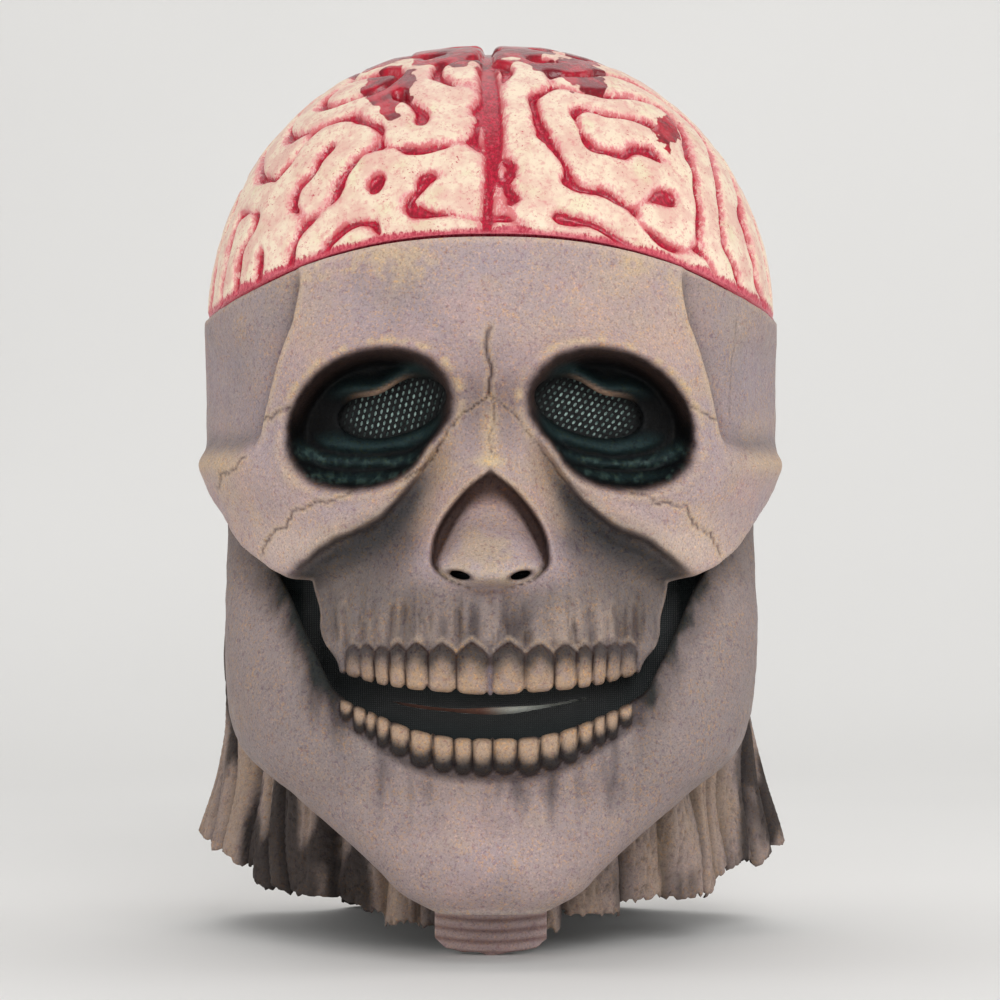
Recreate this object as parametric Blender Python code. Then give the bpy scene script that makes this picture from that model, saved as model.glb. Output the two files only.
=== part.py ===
"""Latex skull mask with an exposed brain and a moving jaw.

Metres, +Z up. The face looks along -Y and +X is the wearer's left. The origin
lies under the middle of the mask, level with the lowest hem. Every shell is a
sheet of latex built on a grid: columns go round the head and rows go up it.
"""

import math

import bmesh
import bpy
import numpy as np
from mathutils import Matrix

# Driving dimensions of the casting
LATEX = 0.0028
GAP = 0.0004
SKULL_CENTRE_Y = 0.012
SKULL_FRONT_POWER = 2.35
SKULL_BACK_POWER = 2.1
SKULL_BOTTOM = 0.094
LEAST_FACING = 0.42
RIM_SIDE_Z = 0.232
RIM_FRONT_RISE = 0.027
RIM_BACK_DROP = 0.006

# height, half width, front y, back y of the skull
SKULL_SECTIONS = (
    (0.090, 0.0930, -0.1040, 0.0950),
    (0.110, 0.0960, -0.1060, 0.0995),
    (0.135, 0.1010, -0.1050, 0.1040),
    (0.160, 0.1055, -0.1045, 0.1090),
    (0.185, 0.1080, -0.1050, 0.1120),
    (0.210, 0.1087, -0.1075, 0.1133),
    (0.235, 0.1090, -0.1060, 0.1133),
    (0.262, 0.1070, -0.0985, 0.1115),
)

# Brain dome above the sawn rim
DOME_BASE_Z = 0.231
DOME_TOP_Z = 0.339
DOME_POWER = 2.2
RIM_LIP = 0.011
RIM_RADIUS = 0.105
SKIRT_DEPTH = 0.009
DOME_LAST_RING = 0.97

# How far the face's relief stands out of, or sinks into, the plain head form
BROW_RISE = 0.0050
BRIDGE_RISE = 0.0085
NOSE_TIP_RISE = 0.0105
UPPER_TEETH_RISE = 0.0035
MAXILLA_RISE = 0.0035
MAXILLA_CURVE = 0.0150
CHEEK_RISE = 0.0040
TEMPLE_DEPTH = 0.0050
LOWER_TEETH_RISE = 0.0030
CHIN_DIP = 0.0030
CHIN_RISE = 0.0025

# Eye sockets and see-through mesh
SOCKET = (0.043, 0.194)
SOCKET_HALF = (0.029, 0.021)
SOCKET_TILT = math.radians(25)
SOCKET_FLOOR_Y = -0.083
SOCKET_FLOOR_SLOPE = 0.30
EYE_HOLE = (0.035, 0.199)
EYE_HOLE_HALF = (0.0195, 0.00875)
EYE_HOLE_TILT = math.radians(15)
MESH_MARGIN = 0.0040
MESH_BEHIND = 0.0070
MESH_THICKNESS = 0.0009

# Nose opening and nostrils
NOSE_WIDTHS = (
    (0.134, 0.004),
    (0.137, 0.012),
    (0.141, 0.018),
    (0.147, 0.0206),
    (0.155, 0.0175),
    (0.165, 0.0110),
    (0.172, 0.0050),
    (0.177, 0.0005),
)
NOSE_DEPTH = 0.010
NOSTRIL = (0.0093, 0.1395)
NOSTRIL_HALF = (0.0040, 0.0016)

# Teeth edges and upper jaw
TEETH_EDGE = ((0.000, 0.0980), (0.030, 0.0995), (0.045, 0.1025), (0.056, 0.1075), (0.064, 0.1140))
MAXILLA_HALF_WIDTHS = ((0.096, 0.057), (0.112, 0.059), (0.125, 0.061), (0.142, 0.064))
# angle round the head in degrees (0 in front) and the height of the skull's lower edge there
SKULL_EDGE = (
    (0, 0.134),
    (35, 0.1365),
    (43, 0.1385),
    (51, 0.143),
    (60, 0.150),
    (68, 0.160),
    (78, 0.1695),
    (90, 0.1715),
    (100, 0.166),
    (116, 0.151),
    (140, 0.136),
    (180, 0.128),
)

# height, half width, y of the widest place, front y, y of the free rear edge of the jaw
JAW_SECTIONS = (
    (0.0200, 0.0190, -0.0960, -0.1035, -0.0940),
    (0.0255, 0.0305, -0.0915, -0.1072, -0.0890),
    (0.0335, 0.0395, -0.0850, -0.1095, -0.0812),
    (0.0430, 0.0508, -0.0755, -0.1092, -0.0705),
    (0.0525, 0.0635, -0.0645, -0.1078, -0.0585),
    (0.0610, 0.0752, -0.0540, -0.1062, -0.0470),
    (0.0670, 0.0838, -0.0465, -0.1060, -0.0392),
    (0.0735, 0.0905, -0.0395, -0.1060, -0.0318),
    (0.0840, 0.0955, -0.0335, -0.1045, -0.0252),
    (0.0970, 0.0978, -0.0300, -0.1012, -0.0210),
    (0.1200, 0.0985, -0.0300, -0.0880, -0.0170),
    (0.1350, 0.0982, -0.0285, -0.0755, -0.0145),
    (0.1500, 0.0976, -0.0260, -0.0620, -0.0120),
    (0.1720, 0.0972, -0.0230, -0.0550, -0.0080),
)
JAW_BOTTOM = 0.0200
JAW_TOP = 0.1700
JAW_BEND = 0.80
# distance from the middle and the height of the jaw's upper edge there
JAW_EDGE = (
    (0.000, 0.0840),
    (0.020, 0.0846),
    (0.035, 0.0870),
    (0.045, 0.0910),
    (0.051, 0.0945),
    (0.056, 0.0985),
    (0.0605, 0.1060),
    (0.0655, 0.1160),
    (0.0705, 0.1262),
    (0.0760, 0.1372),
    (0.0840, 0.1510),
    (0.0915, 0.1620),
    (0.0960, 0.1720),
)

# height, half width, front y, back y of the neck drape
DRAPE_SECTIONS = (
    (0.000, 0.1160, -0.0470, 0.1110),
    (0.030, 0.1120, -0.0460, 0.1080),
    (0.060, 0.1030, -0.0440, 0.1020),
    (0.086, 0.1000, -0.0420, 0.0980),
    (0.113, 0.1025, -0.0400, 0.0970),
    (0.135, 0.1005, -0.0390, 0.0990),
    (0.150, 0.0980, -0.0380, 0.1010),
    (0.168, 0.0970, -0.0380, 0.1030),
)
DRAPE_CENTRE_Y = 0.045
DRAPE_FRONT_POWER = 1.85
DRAPE_FOLDS = 22
DRAPE_FOLD_DEPTH = 0.0022
DRAPE_TUCK = 0.0052
DRAPE_SPREAD = 0.60
DRAPE_HEM = (
    (0, 0.008),
    (25, 0.007),
    (35, 0.012),
    (50, 0.017),
    (65, 0.022),
    (90, 0.029),
    (110, 0.026),
    (130, 0.014),
    (150, 0.000),
    (180, 0.000),
)
DRAPE_TOP = (
    (0, 0.050),
    (25, 0.062),
    (38, 0.092),
    (48, 0.140),
    (57, 0.162),
    (75, 0.166),
    (95, 0.163),
    (130, 0.150),
    (180, 0.142),
)
THROAT_RADIUS = 0.042
THROAT_HALF_WIDTH = 0.0205
THROAT_FRONT_Y = -0.0575
THROAT_TOP = 0.046

# Jaw hinge, through both side walls
HINGE_Y = 0.010
HINGE_Z = 0.190
HINGE_PLATE_X = (0.1000, 0.1022)
HINGE_PLATE_RADIUS = 0.015
BOSS_RADIUS = 0.0080
BOSS_X = 0.0942
RIVET_RADIUS = 0.0030
RIVET_HEAD_RADIUS = 0.0065
RIVET_HEAD_X = (0.1026, 0.1040)
RIVET_END_X = 0.0880
RIVET_CLEARANCE = 0.0004
RAMUS_X = (0.0912, 0.0934)
CAP_X = (0.0883, 0.0908)
CAP_RADIUS = 0.0075

# Fitting band
BAND_Z = 0.196
BAND_HEIGHT = 0.020
BAND_THICKNESS = 0.0016
BAND_BACK_Y = 0.090
BAND_SIDE = (0.0955, 0.036)
BAND_STRAIGHT = 0.040
SLIDER_SIZE = (0.030, 0.0064, 0.027)
SLIDER_SLOT = (0.0028, 0.0214)
SLIDER_WINDOW = (0.0080, 0.0170)
SLIDER_WINDOW_X = 0.0085
SLIDER_BRIDGE = 0.0008
ANCHOR_GAP = 0.0013
ANCHOR_THICKNESS = 0.0018
ANCHOR_HALF = 0.012
ANCHOR_Y = (0.028, 0.046)

# The stiff ears inside the jaw: radius of the eye and the outline below it, as (y, z)
RAMUS_EYE_RADIUS = 0.0125
RAMUS_OUTLINE = (
    (-0.0190, 0.1650),
    (-0.0290, 0.1500),
    (-0.0290, 0.1210),
    (-0.0210, 0.1180),
    (-0.0185, 0.1240),
    (-0.0150, 0.1480),
)
BORE_CUTTER_X = (0.085, 0.110)

# Elastics that close the jaw: (distance from the middle, height) down their length
ELASTIC_LINE = (
    (0.0920, 0.1960),
    (0.0870, 0.1860),
    (0.0825, 0.1720),
    (0.0812, 0.1480),
    (0.0870, 0.1240),
)
ELASTIC_HALF = 0.0045
ELASTIC_THICKNESS = 0.0012
ELASTIC_TOP_Y = -0.0420
ELASTIC_LEAN = 0.05

# Curved panels: half width, bottom and top height, front y, bulge and thickness
UPPER_LINER = (0.070, 0.104, 0.1355, -0.1010, 0.0540, 0.0010)
LOWER_LINER = (0.054, 0.062, 0.0800, -0.0980, 0.0180, 0.0010)
FOREHEAD_PAD = (0.050, 0.221, 0.243, -0.0975, 0.0085, 0.0090)
BACK_PAD = (0.034, 0.178, 0.212, 0.0990, -0.0040, 0.0085)
CHIN_CUP = (0.026, 0.036, 0.054, -0.1015, 0.0060, 0.0100)
NARROW_PANEL_COLUMNS = 9

# Crown and temple pads
CROWN_PAD_RADIUS = 0.032
CROWN_PAD_Z = (0.3210, 0.3300)
TEMPLE_PAD_X = (0.0850, 0.0930)
TEMPLE_PAD_Y = (-0.034, -0.008)
TEMPLE_PAD_Z = (0.206, 0.230)
PAD_EDGE = 0.0015
PAD_EDGE_ANGLE = math.radians(50)

SMOOTH_ANGLE = math.radians(40)
CIRCLE_STEPS = 24


def clear_scene():
    for obj in list(bpy.data.objects):
        bpy.data.objects.remove(obj, do_unlink=True)


def material(name, colour, roughness, metallic=0.0):
    made = bpy.data.materials.new(name)
    made.use_nodes = True
    shader = made.node_tree.nodes["Principled BSDF"]
    shader.inputs["Base Color"].default_value = (*colour, 1.0)
    shader.inputs["Roughness"].default_value = roughness
    shader.inputs["Metallic"].default_value = metallic
    return made


def curve_through(knots, at):
    """A smooth curve through (place, value) knots, read at the given places."""
    places, values = np.array(knots, float).T
    slopes = np.gradient(values, places)
    at = np.clip(at, places[0], places[-1])
    left = np.clip(np.searchsorted(places, at) - 1, 0, len(places) - 2)
    span = places[left + 1] - places[left]
    t = (at - places[left]) / span
    keep = (1 + 2 * t) * (1 - t) ** 2
    rise = t * (1 - t) ** 2 * span
    fall = t**2 * (t - 1) * span
    return (
        keep * values[left]
        + (1 - keep) * values[left + 1]
        + rise * slopes[left]
        + fall * slopes[left + 1]
    )


def column(sections, number):
    """The (height, value) pairs of one column of a table of cross-sections."""
    return [(row[0], row[number]) for row in sections]


def smoothstep(start, end, value):
    t = np.clip((value - start) / (end - start), 0, 1)
    return t * t * (3 - 2 * t)


def hump(value, centre, width):
    return np.exp(-(((value - centre) / width) ** 2))


def signed_power(value, power):
    return np.sign(value) * np.abs(value) ** power


# Surfaces of the head


def rim_height(angle):
    """Height of the skull's sawn rim at an angle round the head, in radians."""
    forward = np.clip(np.cos(angle), 0, 1)
    backward = np.clip(-np.cos(angle), 0, 1)
    return RIM_SIDE_Z + RIM_FRONT_RISE * forward**2.2 - RIM_BACK_DROP * backward**2


def skull_base(angle, z):
    """The plain head form, before the face is sculpted into it."""
    half_width = curve_through(column(SKULL_SECTIONS, 1), z)
    front = SKULL_CENTRE_Y - curve_through(column(SKULL_SECTIONS, 2), z)
    back = curve_through(column(SKULL_SECTIONS, 3), z) - SKULL_CENTRE_Y
    forward = np.cos(angle) > 0
    power = np.where(forward, 2 / SKULL_FRONT_POWER, 2 / SKULL_BACK_POWER)
    depth = np.where(forward, front, back)
    x = half_width * signed_power(np.sin(angle), power)
    y = SKULL_CENTRE_Y - depth * signed_power(np.cos(angle), power)
    return x, y


def ellipse_distance(x, z, centre, half, tilt):
    """1 on the ellipse's outline; the inner end of the ellipse is tilted up."""
    across = np.abs(x) - centre[0]
    up = z - centre[1]
    along = across * math.cos(tilt) - up * math.sin(tilt)
    over = across * math.sin(tilt) + up * math.cos(tilt)
    return np.sqrt((along / half[0]) ** 2 + (over / half[1]) ** 2)


def socket_floor(x):
    return SOCKET_FLOOR_Y + SOCKET_FLOOR_SLOPE * (np.abs(x) - EYE_HOLE[0])


def brow_relief(x, z):
    ridge_z = 0.217 - 0.008 * ((np.abs(x) - 0.040) / 0.040) ** 2
    return BROW_RISE * hump(z, ridge_z, 0.008) * smoothstep(0.085, 0.060, np.abs(x))


def nose_relief(x, z):
    bridge = BRIDGE_RISE * smoothstep(0.206, 0.180, z) * smoothstep(0.160, 0.172, z)
    bridge = bridge * hump(x, 0, 0.012)
    half_width = curve_through(NOSE_WIDTHS, z)
    inside = smoothstep(1.15, 0.80, np.abs(x) / half_width)
    inside = inside * smoothstep(0.1335, 0.1365, z) * smoothstep(0.179, 0.174, z)
    tip = NOSE_TIP_RISE * hump(x, 0, 0.0095) * hump(z, 0.147, 0.014)
    return bridge + inside * (tip - NOSE_DEPTH)


def upper_jaw_relief(x, z):
    side = np.abs(x) / 0.062
    cheek_z = 0.149 - 0.010 * smoothstep(0.035, 0.072, np.abs(x))
    below = smoothstep(cheek_z + 0.002, cheek_z - 0.009, z)
    teeth = UPPER_TEETH_RISE * smoothstep(0.117, 0.111, z)
    return teeth + below * (MAXILLA_RISE - MAXILLA_CURVE * side**2)


def cheek_relief(x, z):
    """Outward swelling of the cheekbone and its arch."""
    ridge_z = 0.163 + 0.016 * smoothstep(0.050, 0.100, np.abs(x))
    return CHEEK_RISE * hump(z, ridge_z, 0.013) * smoothstep(0.035, 0.060, np.abs(x))


def temple_hollow(x, y, z):
    near = ((y + 0.045) / 0.028) ** 2 + ((z - 0.214) / 0.022) ** 2
    below_rim = smoothstep(0.231, 0.216, z)
    return TEMPLE_DEPTH * np.exp(-near) * smoothstep(0.070, 0.085, np.abs(x)) * below_rim


def skull_outward(angle, z):
    """Level direction out of the plain head form."""
    step = 0.01
    ahead = skull_base(angle + step, z)
    behind = skull_base(angle - step, z)
    out_x, out_y = ahead[1] - behind[1], behind[0] - ahead[0]
    size = np.hypot(out_x, out_y)
    return out_x / size, out_y / size


def skull_surface(angle, z):
    """Points of the sculpted face and head, at angles in radians."""
    x, y = skull_base(angle, z)
    out_x, out_y = skull_outward(angle, z)
    in_front = smoothstep(0.00, -0.030, y)
    swell = in_front * (cheek_relief(x, z) - temple_hollow(x, y, z))
    face_x = x + swell * out_x
    face_y = y + swell * out_y
    relief = brow_relief(x, z) + nose_relief(x, z) + upper_jaw_relief(x, z)
    face_y = face_y - in_front * relief
    in_socket = smoothstep(1.15, 0.82, ellipse_distance(x, z, SOCKET, SOCKET_HALF, SOCKET_TILT))
    in_socket = in_socket * in_front
    face_y = face_y * (1 - in_socket) + socket_floor(x) * in_socket
    return np.stack([face_x, face_y, z], axis=-1)


def inward_offset(angle, z, outer):
    """From the skull's outer points to its inner ones: straight back behind the face."""
    out_x, out_y = skull_outward(angle, z)
    behind_face = smoothstep(0.090, 0.076, np.abs(outer[..., 0]))
    behind_face = behind_face * smoothstep(0.0, -0.03, outer[..., 1])
    x = -out_x * (1 - behind_face)
    y = -out_y * (1 - behind_face) + behind_face
    way = np.stack([x, y, 0 * x], axis=-1)
    way /= np.linalg.norm(way, axis=-1, keepdims=True)
    facing = -np.sum(way * grid_normals(outer, True), axis=-1, keepdims=True)
    return way * LATEX / np.clip(facing, LEAST_FACING, 1)


def skull_keep(angle, z):
    """Above zero where the skull's latex is, and zero on its free lower edges."""
    x, _ = skull_base(angle, z)
    above_cheek = z - curve_through(SKULL_EDGE, np.degrees(np.abs(angle)))
    half_width = curve_through(MAXILLA_HALF_WIDTHS, z)
    above_teeth = z - curve_through(TEETH_EDGE, np.abs(x))
    forward = np.where(np.cos(angle) > 0, half_width - np.abs(x), -1.0)
    return np.maximum(above_cheek, np.minimum(forward, above_teeth))


def dome_girth(z):
    """How wide the brain is at a height, against its widest place."""
    up = np.clip((z - DOME_BASE_Z) / (DOME_TOP_Z - DOME_BASE_Z), 0, 1)
    return (1 - up**2) ** (1 / DOME_POWER)


def dome_surface(angle, rise):
    """Points of the brain: rise is 0 on the skull's rim and 1 at the top."""
    rim = rim_height(angle)
    x, y = skull_base(angle, rim)
    seat = rim + 3 * GAP
    z = seat + (DOME_TOP_Z - seat) * np.sin(rise * math.pi / 2)
    girth = (1 - RIM_LIP) * dome_girth(z) / dome_girth(rim)
    return np.stack([x * girth, SKULL_CENTRE_Y + (y - SKULL_CENTRE_Y) * girth, z], axis=-1)


def jaw_surface(across, z):
    """Points of the jaw: across runs from -1 at one rear edge to 1 at the other."""
    half_width = curve_through(column(JAW_SECTIONS, 1), z)
    side_y = curve_through(column(JAW_SECTIONS, 2), z)
    front_y = curve_through(column(JAW_SECTIONS, 3), z)
    rear_y = curve_through(column(JAW_SECTIONS, 4), z)
    angle = np.clip(across / JAW_BEND, -1, 1) * math.pi / 2
    x = half_width * signed_power(np.sin(angle), 0.92)
    y = side_y - (side_y - front_y) * np.abs(np.cos(angle)) ** 0.92
    past = smoothstep(JAW_BEND, 1.0, np.abs(across))
    y = y + past * (rear_y - side_y)
    x = x - np.sign(across) * past * 0.0006
    forward = hump(x, 0, 0.050)
    y = y - LOWER_TEETH_RISE * smoothstep(0.068, 0.074, z) * hump(x, 0, 0.055)
    y = y + CHIN_DIP * hump(z, 0.058, 0.010) * forward
    y = y - CHIN_RISE * hump(z, 0.034, 0.012) * hump(x, 0, 0.022)
    return np.stack([x, y, z + 0 * x], axis=-1)


def tucked_into_skull(x, y, z):
    """Pulls points that would meet the skull's rear wall to just inside it."""
    inset = LATEX + DRAPE_TUCK
    half_width = curve_through(column(SKULL_SECTIONS, 1), z) - inset
    back = curve_through(column(SKULL_SECTIONS, 3), z) - SKULL_CENTRE_Y - inset
    behind = np.maximum(y - SKULL_CENTRE_Y, 0)
    power = SKULL_BACK_POWER
    reach = ((np.abs(x) / half_width) ** power + (behind / back) ** power) ** (1 / power)
    excess = np.maximum(reach / (1 + DRAPE_SPREAD * smoothstep(0.124, 0.108, z)), 1)
    return np.stack([x / excess, SKULL_CENTRE_Y + (y - SKULL_CENTRE_Y) / excess, z], axis=-1)


def drape_surface(angle, rise):
    """Points of the pleated neck sleeve: rise is 0 at the hem and 1 at the top."""
    degrees = np.degrees(np.abs(angle))
    hem = np.maximum(curve_through(DRAPE_HEM, degrees), 0)
    top = curve_through(DRAPE_TOP, degrees)
    z = hem + (top - hem) * rise
    half_width = curve_through(column(DRAPE_SECTIONS, 1), z)
    front = DRAPE_CENTRE_Y - curve_through(column(DRAPE_SECTIONS, 2), z)
    back = curve_through(column(DRAPE_SECTIONS, 3), z) - DRAPE_CENTRE_Y
    forward = np.cos(angle) > 0
    power = np.where(forward, 2 / DRAPE_FRONT_POWER, 1.0)
    depth = np.where(forward, front, back)
    fold = 1 - smoothstep(0.55, 0.95, rise)
    folds = DRAPE_FOLD_DEPTH * fold * np.cos(DRAPE_FOLDS * angle)
    x = (half_width + folds) * signed_power(np.sin(angle), power)
    y = DRAPE_CENTRE_Y - (depth + folds) * signed_power(np.cos(angle), power)
    return tucked_into_skull(x, y, z)


# Turning grids into closed bodies


def grid_normals(points, closed_round):
    """Unit normals of a grid of points, pointing out of the head."""
    if closed_round:
        along = np.roll(points, -1, 1) - np.roll(points, 1, 1)
    else:
        along = np.gradient(points, axis=1)
    normals = np.cross(along, np.gradient(points, axis=0))
    return normals / np.linalg.norm(normals, axis=-1, keepdims=True)


def kept_polygons(keep, closed_round):
    """The cells of a grid, cut where keep falls below zero.

    Returns the places of the corners as (grid point, grid point, fraction) and
    the polygons as lists of those corners.
    """
    rows, columns = keep.shape
    places, corner_of, polygons = [], {}, []

    def corner(first, second, fraction):
        key = (first, second) if first <= second else (second, first)
        if key not in corner_of:
            corner_of[key] = len(places)
            places.append((first, second, fraction))
        return corner_of[key]

    for row in range(rows - 1):
        for start in range(columns if closed_round else columns - 1):
            after = (start + 1) % columns
            loop = [(row, start), (row, after), (row + 1, after), (row + 1, start)]
            polygon = []
            for here, there in zip(loop, loop[1:] + loop[:1]):
                inside, outside = keep[here], keep[there]
                if inside > 0:
                    polygon.append(corner(here, here, 0.0))
                if (inside > 0) != (outside > 0):
                    low, high = min(here, there), max(here, there)
                    fraction = keep[low] / (keep[low] - keep[high])
                    polygon.append(corner(low, high, min(max(fraction, 0.12), 0.88)))
            if len(polygon) > 2:
                polygons.append(polygon)
    return places, polygons


def place_corners(places, points):
    return [
        points[first] * (1 - fraction) + points[second] * fraction
        for first, second, fraction in places
    ]


def new_object(name, verts, faces, finish):
    mesh = bpy.data.meshes.new(name)
    mesh.from_pydata([tuple(vert) for vert in verts], [], faces)
    mesh.materials.append(finish)
    mesh.shade_smooth()
    mesh.set_sharp_from_angle(angle=SMOOTH_ANGLE)
    obj = bpy.data.objects.new(name, mesh)
    bpy.context.scene.collection.objects.link(obj)
    return obj


def sheet_body(name, outer, inner, finish, keep=None, closed_round=False, closed_top=False):
    """A closed body between an outer and an inner grid of points."""
    if keep is None:
        keep = np.ones(outer.shape[:2])
    places, polygons = kept_polygons(keep, closed_round)
    if closed_top:
        last = outer.shape[0] - 1
        ring = {places[n][0][1]: n for n in range(len(places)) if places[n][0][0] == last}
        polygons.append([ring[n] for n in sorted(ring)])
    verts = place_corners(places, outer) + place_corners(places, inner)
    count = len(places)
    faces = list(polygons)
    faces += [[count + corner for corner in reversed(polygon)] for polygon in polygons]
    edges = {
        (start, end)
        for polygon in polygons
        for start, end in zip(polygon, polygon[1:] + polygon[:1])
    }
    for start, end in sorted(edges):
        if (end, start) not in edges:
            faces.append([end, start, count + start, count + end])
    return new_object(name, verts, faces, finish)


def cylinder(name, radius, low, high, finish, centre=(0, 0, 0), axis="Z", steps=CIRCLE_STEPS):
    """A closed cylinder along an axis, from low to high on that axis."""
    mesh = bpy.data.meshes.new(name)
    build = bmesh.new()
    bmesh.ops.create_cone(
        build, cap_ends=True, segments=steps, radius1=radius, radius2=radius, depth=high - low
    )
    turn = {
        "X": Matrix.Rotation(math.pi / 2, 4, "Y"),
        "Y": Matrix.Rotation(-math.pi / 2, 4, "X"),
        "Z": Matrix.Identity(4),
    }[axis]
    middle = Matrix.Translation((0, 0, (low + high) / 2))
    bmesh.ops.transform(build, matrix=Matrix.Translation(centre) @ turn @ middle, verts=build.verts)
    bmesh.ops.recalc_face_normals(build, faces=build.faces)
    build.to_mesh(mesh)
    build.free()
    if finish:
        mesh.materials.append(finish)
    mesh.shade_smooth()
    mesh.set_sharp_from_angle(angle=SMOOTH_ANGLE)
    obj = bpy.data.objects.new(name, mesh)
    bpy.context.scene.collection.objects.link(obj)
    return obj


def box(name, low, high, finish):
    mesh = bpy.data.meshes.new(name)
    build = bmesh.new()
    bmesh.ops.create_cube(build, size=1)
    for vert in build.verts:
        vert.co = [lo + (co + 0.5) * (hi - lo) for co, lo, hi in zip(vert.co, low, high)]
    build.to_mesh(mesh)
    build.free()
    if finish:
        mesh.materials.append(finish)
    obj = bpy.data.objects.new(name, mesh)
    bpy.context.scene.collection.objects.link(obj)
    return obj


def combine(target, tool, operation):
    """Cuts or joins with a hidden helper object."""
    tool.hide_render = True
    tool.display_type = "WIRE"
    change = target.modifiers.new(tool.name, "BOOLEAN")
    change.operation = operation
    change.solver = "EXACT"
    change.object = tool


def hole_cutter(name, centre, half, tilt, low_y, high_y):
    """An elliptical prism along Y, to cut a hole through the face."""
    cutter = cylinder(name, 1.0, low_y, high_y, None, axis="Y")
    shape = Matrix.Translation((centre[0], 0, centre[1])) @ Matrix.Rotation(tilt, 4, "Y")
    shape = shape @ Matrix.Diagonal((half[0], 1, half[1], 1))
    cutter.data.transform(shape)
    return cutter


# Sub-parts


def face_columns():
    """Angles round the head: close together over the face, wide apart behind."""
    front = np.radians(np.linspace(-84, 84, 39))
    rest = np.radians(np.linspace(84, 276, 18))[1:-1]
    return np.concatenate([front, rest])


def build_skull_shell(finish):
    angles = face_columns()
    rows = np.linspace(0, 1, 30)
    angle = np.broadcast_to(angles, (len(rows), len(angles)))
    z = SKULL_BOTTOM + (rim_height(angle) - SKULL_BOTTOM) * rows[:, None]
    folded = (angle + math.pi) % (2 * math.pi) - math.pi
    outer = skull_surface(folded, z)
    inner = outer + inward_offset(folded, z, outer)
    shell = sheet_body(
        "skull_shell", outer, inner, finish, keep=skull_keep(folded, z), closed_round=True
    )
    for side, word in ((1, "left"), (-1, "right")):
        hole = (side * EYE_HOLE[0], EYE_HOLE[1])
        cutter = hole_cutter(
            f"eye_cutter_{word}", hole, EYE_HOLE_HALF, side * EYE_HOLE_TILT, -0.100, -0.065
        )
        combine(shell, cutter, "DIFFERENCE")
        nostril = (side * NOSTRIL[0], NOSTRIL[1])
        cutter = hole_cutter(
            f"nostril_cutter_{word}", nostril, NOSTRIL_HALF, 0.0, -0.125, -0.080
        )
        combine(shell, cutter, "DIFFERENCE")
    return shell


def build_brain_cap(finish):
    angles = np.radians(np.linspace(0, 360, 40, endpoint=False))
    rise = np.linspace(0, DOME_LAST_RING, 11)[:, None]
    dome = dome_surface(np.broadcast_to(angles, (len(rise), len(angles))), rise)
    rim = rim_height(angles)
    x, y = skull_base(angles, rim)
    lap = 1 - (LATEX + 3 * GAP) / RIM_RADIUS
    shelf = np.stack([x * lap, SKULL_CENTRE_Y + (y - SKULL_CENTRE_Y) * lap, dome[0, :, 2]], axis=-1)
    skirt = shelf - (0, 0, SKIRT_DEPTH)
    outer = np.concatenate([skirt[None], shelf[None], dome])
    thin = 1 - LATEX / RIM_RADIUS
    middle = np.array([0, SKULL_CENTRE_Y, 0])
    inner_skirt = middle + (skirt - middle) * (thin, thin, 1)
    inner = np.concatenate([
        inner_skirt[None],
        inner_skirt[None] + (0, 0, SKIRT_DEPTH + LATEX / 2),
        inner_skirt[None] + (0, 0, SKIRT_DEPTH + LATEX),
        dome[1:] - LATEX * grid_normals(dome, True)[1:],
    ])
    return sheet_body("brain_cap", outer, inner, finish, closed_round=True, closed_top=True)


def build_jaw_shell(finish):
    across = np.concatenate([
        np.linspace(-1, -JAW_BEND, 3)[:-1],
        np.linspace(-JAW_BEND, JAW_BEND, 29),
        np.linspace(JAW_BEND, 1, 3)[1:],
    ])
    rows = np.linspace(JAW_BOTTOM, JAW_TOP, 22)
    grid_across = np.broadcast_to(across, (len(rows), len(across)))
    z = np.broadcast_to(rows[:, None], grid_across.shape)
    outer = jaw_surface(grid_across, z)
    inner = outer - LATEX * grid_normals(outer, False)
    inner[0, :, 2] = outer[0, :, 2]
    keep = curve_through(JAW_EDGE, np.abs(outer[..., 0])) - z
    return sheet_body("jaw_shell", outer, inner, finish, keep=keep)


def build_neck_drape(finish):
    angles = np.radians(np.linspace(0, 360, 4 * DRAPE_FOLDS, endpoint=False))
    rows = np.linspace(0, 1, 7)
    angle = np.broadcast_to(angles, (len(rows), len(angles)))
    folded = (angle + math.pi) % (2 * math.pi) - math.pi
    outer = drape_surface(folded, rows[:, None])
    normals = grid_normals(outer, True)
    normals[..., 2] = 0
    normals /= np.linalg.norm(normals, axis=-1, keepdims=True)
    return sheet_body("neck_drape", outer, outer - LATEX * normals, finish, closed_round=True)


def build_throat_panel(finish):
    spread = math.asin(THROAT_HALF_WIDTH / THROAT_RADIUS)
    angles = np.linspace(-spread, spread, 11)
    rows = np.linspace(0, 1, 12)[:, None]
    corner = 1 - np.sqrt(1 - np.clip(np.abs(angles) / spread - 0.30, 0, 1) ** 2)
    bottom = 0.018 * corner
    z = bottom + (THROAT_TOP - bottom) * rows
    x = THROAT_RADIUS * np.sin(angles) + 0 * z
    y = THROAT_FRONT_Y + THROAT_RADIUS * (1 - np.cos(angles)) + 0 * z
    outer = np.stack([x, y, z], axis=-1)
    inner = outer.copy()
    inner[..., 0] *= 1 - LATEX / THROAT_RADIUS
    inner[..., 1] += LATEX
    return sheet_body("throat_panel", outer, inner, finish)


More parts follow.
